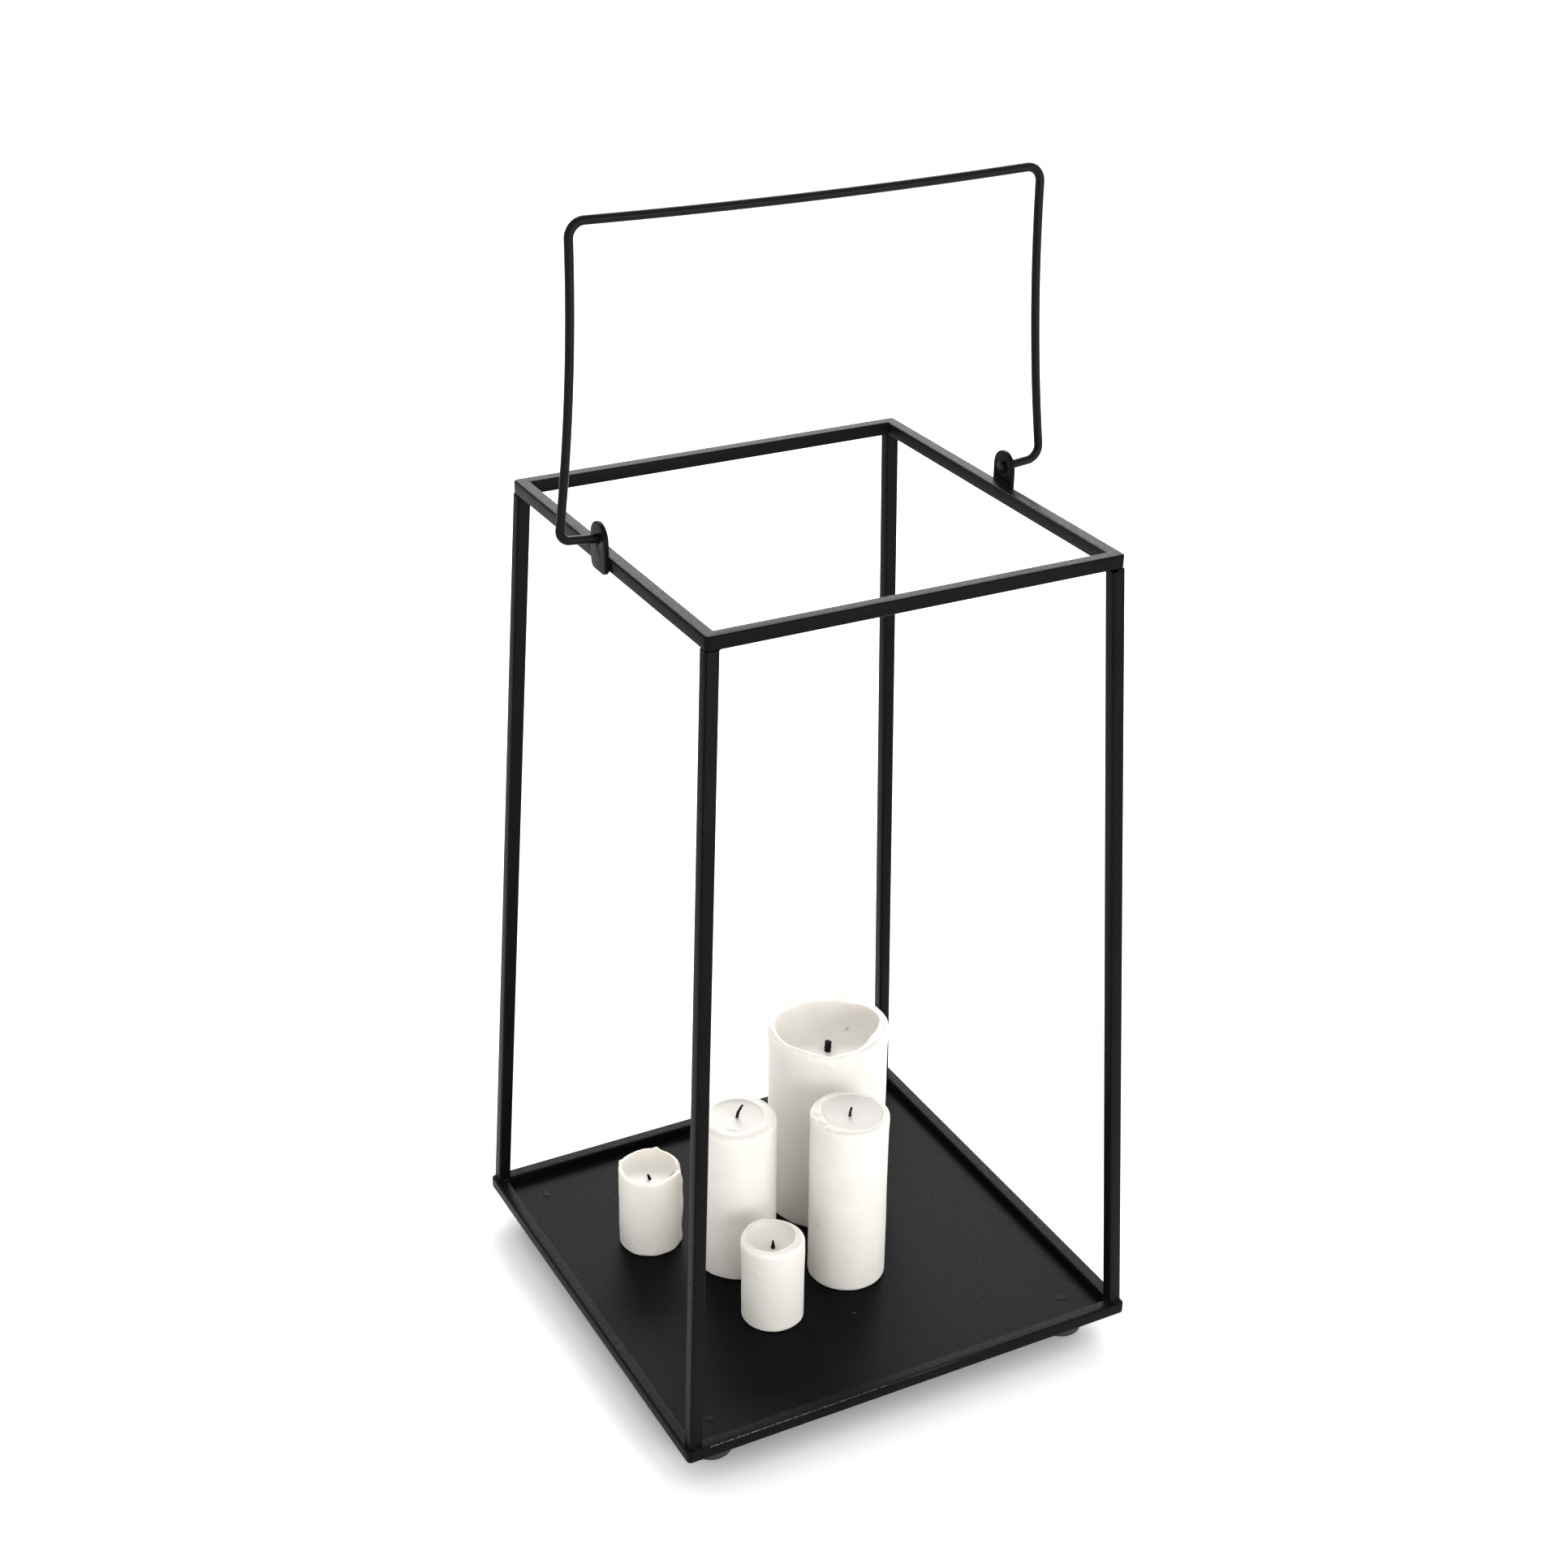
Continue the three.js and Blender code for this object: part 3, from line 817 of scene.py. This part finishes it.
class LANTERN_OT_tray(bpy.types.Operator):
    """Models the tray: a sheet with its drain and rivet holes, bowed a little between its welds"""

    bl_idname = "lantern.tray"
    bl_label = "Tray"

    def execute(self, context):
        settings = context.scene.lantern_frame
        low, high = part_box("tray_plate")
        reach = Vector((settings.tray_reach, settings.tray_reach, 0))
        low, high = low - reach, high + reach
        block(low, high)
        tray = begin("tray_plate_sheet")
        pick("EDGE", across_z)
        bpy.ops.mesh.subdivide(number_cuts=27)
        only(tray)
        for vertex in tray.data.vertices:
            inside = min(high.x - abs(vertex.co.x), high.y - abs(vertex.co.y)) / mm(HELD)
            hold = min(1.0, max(0.0, inside))
            vertex.co.z += settings.tray_wave * hold * noise.noise(vertex.co * pitch(85))
        through = mm(20)
        for corner in CORNERS:
            drill(tray, (*plan_centre(f"foot_{corner}"), low.z), mm(RIVET_HOLE), through)
        drill(tray, (0, -settings.drain_offset, low.z), settings.drain, through)
        put_on_frame(tray, "tray_plate", kind="sheet")
        return {"FINISHED"}


# A foot, in millimetres: radius of the cup under its web, the cup's lip, the web's level, and the
# rounding of its tread and of its rim.
FOOT = (6, 0.4, 14, 3, 0.8)
# A rivet, in millimetres: shank radius, tail radius, height and edge, head radius and height.
RIVET = (1.6, 2.8, 1, 0.3, 3, 0.22)


class LANTERN_OT_feet(bpy.types.Operator):
    """Turns the rubber feet and the rivets that hold them, one of each, and copies them"""

    bl_idname = "lantern.feet"
    bl_label = "Feet and rivets"

    def execute(self, context):
        rubber = moulded_rubber(context.scene.lantern_frame)
        low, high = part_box("foot_front_left")
        centre = Vector((*plan_centre("foot_front_left"), 0))
        top, wide = high.z, (high.x - low.x) / 2
        cup, lip, web, tread, rim = mm(*FOOT)
        hole = mm(RIVET_HOLE)
        outline = [(cup, lip), (cup + lip, 0), (wide - mm(4), 0)]
        outline += arc((wide - mm(4), tread), tread, -90, 0, 8)[1:]
        outline += [(wide - mm(0.35), mm(12)), (wide - mm(0.15), mm(12.4)), (wide, top - rim)]
        outline += arc((wide - rim, top - rim), rim, 0, 90, 4)[1:]
        outline += [(hole, top), (hole, web), (cup, web), outline[0]]
        foot = turned("foot_front_left_bumper", outline, 56, centre)
        only(foot)
        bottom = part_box("foot_rivet_front_left")[0].z
        tray_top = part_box("tray_plate")[1].z
        shank, tail, tail_height, tail_edge, head, head_height = mm(*RIVET)
        outline = [(0, bottom), (tail - tail_edge, bottom), (tail, bottom + tail_edge)]
        outline += [(tail, bottom + tail_height), (shank, bottom + tail_height)]
        outline += [(shank, tray_top + mm(0.02)), (head, tray_top + mm(0.02))]
        outline += arc((0, tray_top + mm(0.06)), head, 0, 90, 8, head_height)
        rivet = turned("foot_rivet_front_left_steel", outline, 32, centre)
        only(rivet)
        feet, rivets = [foot], [rivet]
        for number, corner in enumerate(CORNERS[1:], start=1):
            feet.append(copy_of(foot, f"foot_{corner}_bumper", number * QUARTER))
            rivets.append(copy_of(rivet, f"foot_rivet_{corner}_steel", number * QUARTER))
        for corner, foot, rivet in zip(CORNERS, feet, rivets):
            hand_over(foot, rubber, STEEL_BODY, "black_rubber", f"foot_{corner}")
            put_on_frame(rivet, f"foot_rivet_{corner}")
        return {"FINISHED"}


# ------------------------------------------------------------------ handle


# How many steps each bend and each slow curve of the wire takes, from the left end to the right.
BEND_STEPS = (14, 24, 14, 32, 14, 24, 14)
# How far round its dome each ring of a headed end lies, in degrees.
HEAD_DOME = (25, 45, 62, 76)


class LANTERN_OT_handle(bpy.types.Operator):
    """Bends the handle from one length of wire and heads both its ends inside the tabs"""

    bl_idname = "lantern.handle"
    bl_label = "Carrying handle"

    def execute(self, context):
        settings = context.scene.lantern_handle
        tab_low, tab_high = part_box("handle_tab_right")
        ring = tab_low.x
        pivot = tab_high.z - (tab_high.y - tab_low.y) / 2
        bar = pivot + settings.rise
        start = ring - mm(WIRE_PLAY)
        half = [
            Vector((start, 0, pivot)),
            Vector((ring + settings.low_out, 0, pivot + settings.tilt)),
            Vector((ring + settings.waist_out, 0, (pivot + bar) / 2)),
            Vector((ring + settings.top_out, 0, bar)),
        ]
        middle = Vector((0, 0, bar - 2 * settings.sag))
        corners = [Vector((-p.x, 0, p.z)) for p in half] + [middle] + half[::-1]
        left, right = settings.low_bends
        bow = (half[2] - half[1]).length - max(left, right, settings.bend)
        sag = (middle - half[3]).length - settings.bend
        reaches = [left, bow, settings.bend, sag, settings.bend, bow, right]
        bpy.ops.mesh.primitive_circle_add(
            vertices=24, radius=settings.wire / 2, location=corners[0], rotation=(0, QUARTER, 0)
        )
        handle = begin("carry_handle_wire")
        pick_all()
        sweep(corners, reaches, BEND_STEPS)
        grow = settings.head / (settings.wire / 2)
        third = settings.head_height / 3
        for side in (-1, 1):
            end = Vector((side * start, 0, pivot))
            pick("VERT", lambda at, way: (at - end).length < settings.wire / 2 + mm(0.05))
            step((0, 0, 0), (grow, grow, grow), end)
            step((-side * third, 0, 0))
            end.x -= side * third
            before = 0.0
            for degrees in HEAD_DOME:
                angle = math.radians(degrees)
                rise = 2 * third * (math.sin(angle) - math.sin(before))
                share = math.cos(angle) / math.cos(before)
                end.x -= side * rise
                step((-side * rise, 0, 0), (share, share, share), end)
                before = angle
            bpy.ops.mesh.edge_face_add()
        merge_doubles()
        face_outwards()
        hand_over(handle, steel("wire"), "handle", "coated_steel", "carry_handle")
        return {"FINISHED"}


# ------------------------------------------------------------------ candles

# What burning, pouring and handling left on each candle. Angles are seen from above, from +X
# towards +Y, and lengths are in millimetres.
#   rim: raises the top edge            (angle, arc spread, rise)
#   pool: narrows the hollow's mouth    (angle, arc spread, inwards)
#   swell: stands the side proud        (angle, arc spread, height, upright spread, outwards)
#   soot_and_shade: darkens the wax with soot, and with painted shade in a crease (angle, distance
#       from the axis or height, spread, share)
MARKS = {
    "small_left": {
        "rim": [(51, 2.0, 1.3), (138, 1.6, 1.0), (-28, 4, -3.2), (-137, 16, -0.6), (62, 14, 0.5)],
        "pool": [(-24, 3, 1.6), (60, 12, -0.3), (-137, 12, 0.4)],
        "swell": [
            (-31, 2.6, 30, 17, 1.7), (-34, 2.2, 47, 5, 1.1), (-33, 3.4, 3, 5, 0.9),
            (136, 1.6, 55, 2.2, 0.9), (51, 2.0, 55.5, 1.5, 0.6), (-118, 30, 20, 20, 0.3),
        ],
        # Both of these are painted shade: in the crease of the notch where the wax ran out, and at
        # the run's start beside it.
        "soot_and_shade": [(-24, 16, 2.0, 0.6), (-34, 17, 1.4, 0.45)],
    },
    "medium_left": {
        "rim": [(60, 30, 0.6), (-100, 30, -0.5)],
        "pool": [],
        "swell": [(-118, 30, 60, 30, 0.35), (-40, 20, 4, 5, 0.5)],
        "soot_and_shade": [(0, 0, 4.5, 0.26)],
    },
    "small_front": {
        "rim": [(110, 22, 0.9), (-60, 20, -0.4), (-170, 8, 0.4)],
        "pool": [(112, 26, -3.5), (-60, 16, 2.0), (175, 10, -0.8)],
        "swell": [
            (-147, 1.5, 42.4, 1.4, 0.8), (175, 14, 54, 7, 0.7), (-20, 14, 46, 10, 0.3),
            (-70, 6, 2, 2.5, 0.5), (-110, 5, 1.5, 2, 0.4),
        ],
        "soot_and_shade": [(0, 0, 3.5, 0.25)],
    },
    "medium_right": {
        "rim": [(-163, 6, 0.7), (150, 5, 0.5), (-125, 6, 0.4), (0, 20, -0.3)],
        "pool": [(170, 17, 3.6), (-122, 14, 1.4)],
        "swell": [(-28, 12, 114, 5, 0.4), (-118, 30, 40, 40, -0.3), (-95, 8, 1.5, 2, 0.4)],
        "soot_and_shade": [(-170, 44.2, 0.7, 1.0), (0, 0, 3, 0.1)],
    },
    "large_back": {
        "rim": [
            (62, 30, 1.2), (-118, 8, -1.6), (-88, 7, -0.8), (-60, 12, 1.1), (-150, 7, 0.9),
            (170, 10, 0.9), (-18, 12, 0.9), (120, 9, -0.7), (35, 8, -0.5),
        ],
        "pool": [(-52, 22, 4.6), (66, 34, 8.6), (106, 5, 1.0), (150, 14, 0.8)],
        "swell": [
            (-118, 3, 127.5, 2.5, 0.6), (-140, 22, 128, 5, 0.5), (-28, 24, 127, 6, 0.7),
            (62, 30, 127, 6, 0.6), (150, 22, 127, 6, 0.7), (-118, 40, 60, 40, 0.25),
        ],
        "soot_and_shade": [(31.6, 27.6, 1.1, 0.7), (0, 0, 5, 0.1)],
    },
}
# How much painted shade darkens each top where it faces up, in the hollow and on the rim.
PAINTED_TOP_SHADE = {
    "small_left": (0.0, 0.08), "medium_left": (0.3, 0.22), "small_front": (0.0, 0.04),
    "medium_right": (0.38, 0.3), "large_back": (0.0, 0.26),
}
# How square each hollow's wall and floor meet: 2 is a plain ellipse.
SQUARENESS = {"small_left": 3.0, "medium_left": 1.2, "small_front": 2.3, "medium_right": 2.0,
              "large_back": 3.6}
# Unevenness in millimetres, as its size and how far apart its waves are: the slow and the fine
# waves of the side, those of the rim and the hollow's floor, and the squashed foot.
SIDE, SKIN, RIM, FLOOR, FOOT_EDGE = (0.22, 17), (0.05, 4), (0.7, 13), (0.35, 14), (0.35, 7)
# Pitch in millimetres of the crumbs along a rim, up and down and in and out.
CRUMBS_UP, CRUMBS_OUT = 1.9, 2.3
# How rough each rim broke: height of its crumbs in millimetres.
CRUMBS = {"small_left": 0.18, "medium_left": 0.05, "small_front": 0.12, "medium_right": 0.75,
          "large_back": 0.22}


def wax_outline(radius, height, rim, hollow, shoulder, foot, squareness):
    """Half outline of a candle: underside, foot, side, shoulder, rim and burnt hollow."""
    pool = radius - rim
    outline = [((radius - foot) * i / 8, 0) for i in range(9)]
    outline += arc((radius - foot, foot), foot, -90, 0, 5)[1:]
    rows = math.ceil((height - shoulder - foot) / mm(1.4))
    outline += [
        (radius, foot + (height - shoulder - foot) * i / rows) for i in range(1, rows + 1)
    ]
    outline += arc((radius - shoulder, height - shoulder), shoulder, 0, 90, 6)[1:]
    flat = radius - shoulder - pool
    if flat > mm(0.1):
        count = math.ceil(flat / mm(0.7))
        outline += [(radius - shoulder - flat * i / count, height) for i in range(1, count + 1)]
    for i in range(1, 29):
        angle = QUARTER * i / 28
        across = max(0.0, math.cos(angle)) ** (2 / squareness)
        deep = math.sin(angle) ** (2 / squareness)
        outline.append((pool * across if i < 28 else 0, height - hollow * deep))
    return outline


def arc_gap(angle, other, radius):
    """Distance round a candle's side between two directions."""
    turn = (angle - math.radians(other) + math.pi) % (2 * math.pi) - math.pi
    return turn * radius


def uneven(point, size, apart):
    """Smooth noise of a size, whose waves are a distance apart, both in millimetres."""
    return mm(size) * noise.noise(point * pitch(apart))


def bell(value, spread):
    """A smooth hump: 1 in the middle, small beyond twice the spread."""
    return math.exp(-((value / spread) ** 2))


def melt(piece, name, centre, radius, height, pool, hollow):
    """Moves the wax's points one by one: wavy rim, runs, blobs, chips, a lumpy foot, and where soot
    and painted shade lie.
    """
    marks = MARKS[name]
    soot_and_shade = piece.data.attributes.new("soot_and_shade", "FLOAT", "POINT")
    # How far each point faces up: the painted shade on the tops follows it.
    upward = [max(0.0, vertex.normal.z) ** 2 for vertex in piece.data.vertices]
    # The part of a candle's height that wavers with its rim.
    crown = max(hollow, mm(9))
    for vertex in piece.data.vertices:
        local = vertex.co - centre
        flat = Vector((local.x, local.y, 0))
        r, z = flat.length, local.z
        angle = math.atan2(local.y, local.x)
        way = flat.normalized() if r > SAME_PLACE else Vector()
        inside = z > height - hollow - mm(0.1) and r < pool + SLACK
        top = min(1.0, max(0.0, (z - (height - crown)) / crown))
        if inside:
            top *= min(1.0, r / pool) ** 6
        out = 0.0
        rise = 0.0
        for at, spread, amount in marks["rim"]:
            rise += mm(amount) * bell(arc_gap(angle, at, radius), mm(spread)) * top**2
        if inside:
            for at, spread, amount in marks["pool"]:
                share = (r / pool) ** 3
                out -= mm(amount) * bell(arc_gap(angle, at, radius), mm(spread)) * share
        elif z > mm(0.05):
            for at, spread, level, tall, amount in marks["swell"]:
                near = bell(arc_gap(angle, at, radius), mm(spread)) * bell(z - mm(level), mm(tall))
                out += mm(amount) * near * min(1.0, r / radius) ** 8
        # Slow unevenness of the side, finer on the rim, and a foot that squashed a little.
        if r > mm(1):
            out += uneven(vertex.co, *SIDE) * (r / radius) ** 2
            out += uneven(vertex.co, *SKIN) * (r / radius) ** 2
        rise += uneven(vertex.co, *RIM) * top**4
        crumb = CRUMBS[name] * top**8
        if name == "medium_right":
            crumb *= 0.35 + 0.65 * bell(arc_gap(angle, 175, radius), mm(22))
        rise += uneven(vertex.co, crumb, CRUMBS_UP)
        out += uneven(vertex.co + centre, crumb * 0.6, CRUMBS_OUT)
        low = max(0.0, 1 - z / mm(4)) * (r / radius) ** 6
        out += uneven(vertex.co, *FOOT_EDGE) * low
        if inside:
            rise += uneven(vertex.co, *FLOOR) * min(1.0, hollow / mm(5))
        vertex.co += way * out
        vertex.co.z += rise
        # Painted shade: the more the wax faces up, the darker it is drawn; soot and the painted
        # crease shade may darken it further.
        dark = PAINTED_TOP_SHADE[name][0 if inside else 1] * upward[vertex.index]
        for at, level, spread, share in marks["soot_and_shade"]:
            if inside:
                spot = Matrix.Rotation(math.radians(at), 3, "Z") @ Vector((mm(level), 0, 0))
                gap = (flat - spot).length
            elif level > 30:
                gap = math.hypot(arc_gap(angle, at, radius), z - mm(level))
            else:
                continue
            dark = max(dark, share * bell(gap, mm(spread)))
        soot_and_shade.data[vertex.index].value = dark


# How far a wick is modelled down into the wax, in millimetres.
WICK_ROOT = 3


class LANTERN_OT_candles(bpy.types.Operator):
    """Turns each candle's wax, melts and marks it as listed, and stands its wick in it"""

    bl_idname = "lantern.candles"
    bl_label = "Candles"

    def execute(self, context):
        settings = context.scene.lantern_candles
        wax, char = cast_wax(settings), charred_cotton(settings)
        for number, name in enumerate(CANDLES):
            low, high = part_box(f"candle_{name}")
            centre = Vector((*plan_centre(f"candle_{name}"), low.z))
            radius, height = (high.x - low.x) / 2, high.z - low.z
            rim, hollow = settings.rim[number], settings.hollow[number]
            outline = wax_outline(
                radius, height, rim, hollow, settings.shoulder[number], settings.foot,
                SQUARENESS[name],
            )
            steps = int(2 * math.pi * radius / mm(1.05))
            body = turned(f"candle_{name}_wax", outline, steps, centre)
            only(body)
            melt(body, name, centre, radius, height, radius - rim, hollow)
            hand_over(body, wax, f"candle_{name}", "white_wax", f"candle_{name}", angle=60)
            wick = self.wick(
                f"wick_{name}", name, centre, height - hollow, settings.wick[number],
                settings.stub[number],
            )
            hand_over(wick, char, f"candle_{name}", "charred_wick", f"wick_{name}", angle=60)
        return {"FINISHED"}

    def wick(self, node, name, centre, level, radius, stub):
        """A braided wick: a rod that leans over above the wax, pinched, twisted and frayed."""
        tip = Vector((*plan_centre(node), 0)) - centre
        lean = Vector((tip.x, tip.y, 0)) * 2
        root = mm(WICK_ROOT)
        bottom = centre + Vector((0, 0, level - root))
        bpy.ops.mesh.primitive_cylinder_add(
            vertices=14, radius=radius, depth=stub + root,
            location=bottom + Vector((0, 0, (stub + root) / 2)),
        )
        wick = begin(f"{node}_braid")
        pick("EDGE", along_z)
        bpy.ops.mesh.subdivide(number_cuts=26)
        pick("FACE", upwards)
        bpy.ops.mesh.inset(thickness=radius * 0.45)
        only(wick)
        for vertex in wick.data.vertices:
            share = max(0.0, (vertex.co.z - bottom.z - root) / stub)
            spine = Vector((centre.x, centre.y, vertex.co.z))
            out = vertex.co - spine
            twist = 2.5 * math.pi * share
            strand = 1 + 0.1 * math.cos(3 * (math.atan2(out.y, out.x) - twist))
            fray = 1 + 0.3 * noise.noise(vertex.co * pitch(1.3))
            neck = 0.86 if name == "large_back" else 1 - 0.25 * share
            if name == "small_front":
                neck = 1.15 - 0.75 * share
            vertex.co = spine + out * strand * fray * neck
            vertex.co += lean * share**1.6
            if share > 0.97:
                vertex.co.z += mm(0.25) * noise.noise(vertex.co * pitch(0.9))
        return wick


# ------------------------------------------------------------------ stage


# Each light's name, place in metres, width and height in metres, and watts, and what all face.
SOFTBOXES = [
    ("softbox_back", (1.05, 1.9, 1.6), 1.8, 1.1, 55),
    ("softbox_front", (0.6, -2.4, 0.65), 2.5, 1.2, 41),
]
TARGET = (0, 0, 0.25)
# How bright the white surroundings are, the floor's radius in metres, and the camera's sensor.
SURROUNDINGS = 1.15
FLOOR_RADIUS = 16
SENSOR = 36


def softbox(name, place, width, tall, power):
    """A large soft light, turned towards the lantern."""
    data = bpy.data.lights.new(name, "AREA")
    data.shape, data.size, data.size_y, data.energy = "RECTANGLE", width, tall, power
    lamp = bpy.data.objects.new(name, data)
    bpy.context.scene.collection.objects.link(lamp)
    lamp.location = place
    lamp.rotation_euler = (Vector(TARGET) - Vector(place)).to_track_quat("-Z", "Y").to_euler()


class LANTERN_OT_stage(bpy.types.Operator):
    """Sets the floor, the soft studio light and the camera"""

    bl_idname = "lantern.stage"
    bl_label = "Stage"

    def execute(self, context):
        scene, settings = context.scene, context.scene.lantern_stage
        bpy.ops.object.select_all(action="DESELECT")
        bpy.ops.mesh.primitive_circle_add(vertices=64, radius=FLOOR_RADIUS, fill_type="NGON")
        floor = begin("studio_floor")
        only(floor)
        floor.data.materials.append(painted_floor(settings))
        world = bpy.data.worlds.new("studio")
        world.use_nodes = True
        background = world.node_tree.nodes["Background"].inputs
        background["Color"].default_value = (1, 1, 1, 1)
        background["Strength"].default_value = SURROUNDINGS
        scene.world = world
        for light in SOFTBOXES:
            softbox(*light)
        camera = bpy.data.objects.new("camera", bpy.data.cameras.new("camera"))
        camera.data.lens, camera.data.sensor_width = settings.lens, SENSOR
        camera.data.clip_start, camera.data.clip_end = 0.01, 100
        camera.location, camera.rotation_euler = settings.camera, settings.aim
        scene.collection.objects.link(camera)
        scene.camera = camera
        scene.view_settings.view_transform = "Standard"
        return {"FINISHED"}


# ------------------------------------------------------------------ panel and registration

OPERATORS = [
    LANTERN_OT_rings, LANTERN_OT_legs, LANTERN_OT_welds, LANTERN_OT_tabs, LANTERN_OT_tray,
    LANTERN_OT_feet, LANTERN_OT_handle, LANTERN_OT_candles, LANTERN_OT_stage,
]
SETTINGS = {
    "lantern_frame": LanternFrameSettings,
    "lantern_handle": LanternHandleSettings,
    "lantern_candles": LanternCandleSettings,
    "lantern_stage": LanternStageSettings,
}


class LANTERN_PT_panel(bpy.types.Panel):
    """Lists the lantern's pieces and its sizes and colours"""

    bl_label = "Candle lantern"
    bl_idname = "LANTERN_PT_panel"
    bl_space_type = "VIEW_3D"
    bl_region_type = "UI"
    bl_category = "Lantern"

    def draw(self, context):
        for operator in OPERATORS:
            self.layout.operator(operator.bl_idname)
        for name, group in SETTINGS.items():
            box = self.layout.box()
            for key in group.__annotations__:
                box.prop(getattr(context.scene, name), key)


def register():
    for group in [*SETTINGS.values(), *OPERATORS, LANTERN_PT_panel]:
        bpy.utils.register_class(group)
    for name, group in SETTINGS.items():
        setattr(bpy.types.Scene, name, bpy.props.PointerProperty(type=group))


def unregister():
    for name in SETTINGS:
        delattr(bpy.types.Scene, name)
    for group in [LANTERN_PT_panel, *OPERATORS[::-1], *SETTINGS.values()]:
        bpy.utils.unregister_class(group)


def main():
    """Registers the classes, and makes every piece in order."""
    register()
    bpy.ops.object.select_all(action="DESELECT")
    for operator in OPERATORS:
        group, name = operator.bl_idname.split(".")
        getattr(getattr(bpy.ops, group), name)()
    bpy.ops.object.select_all(action="DESELECT")


if __name__ == "__main__":
    main()
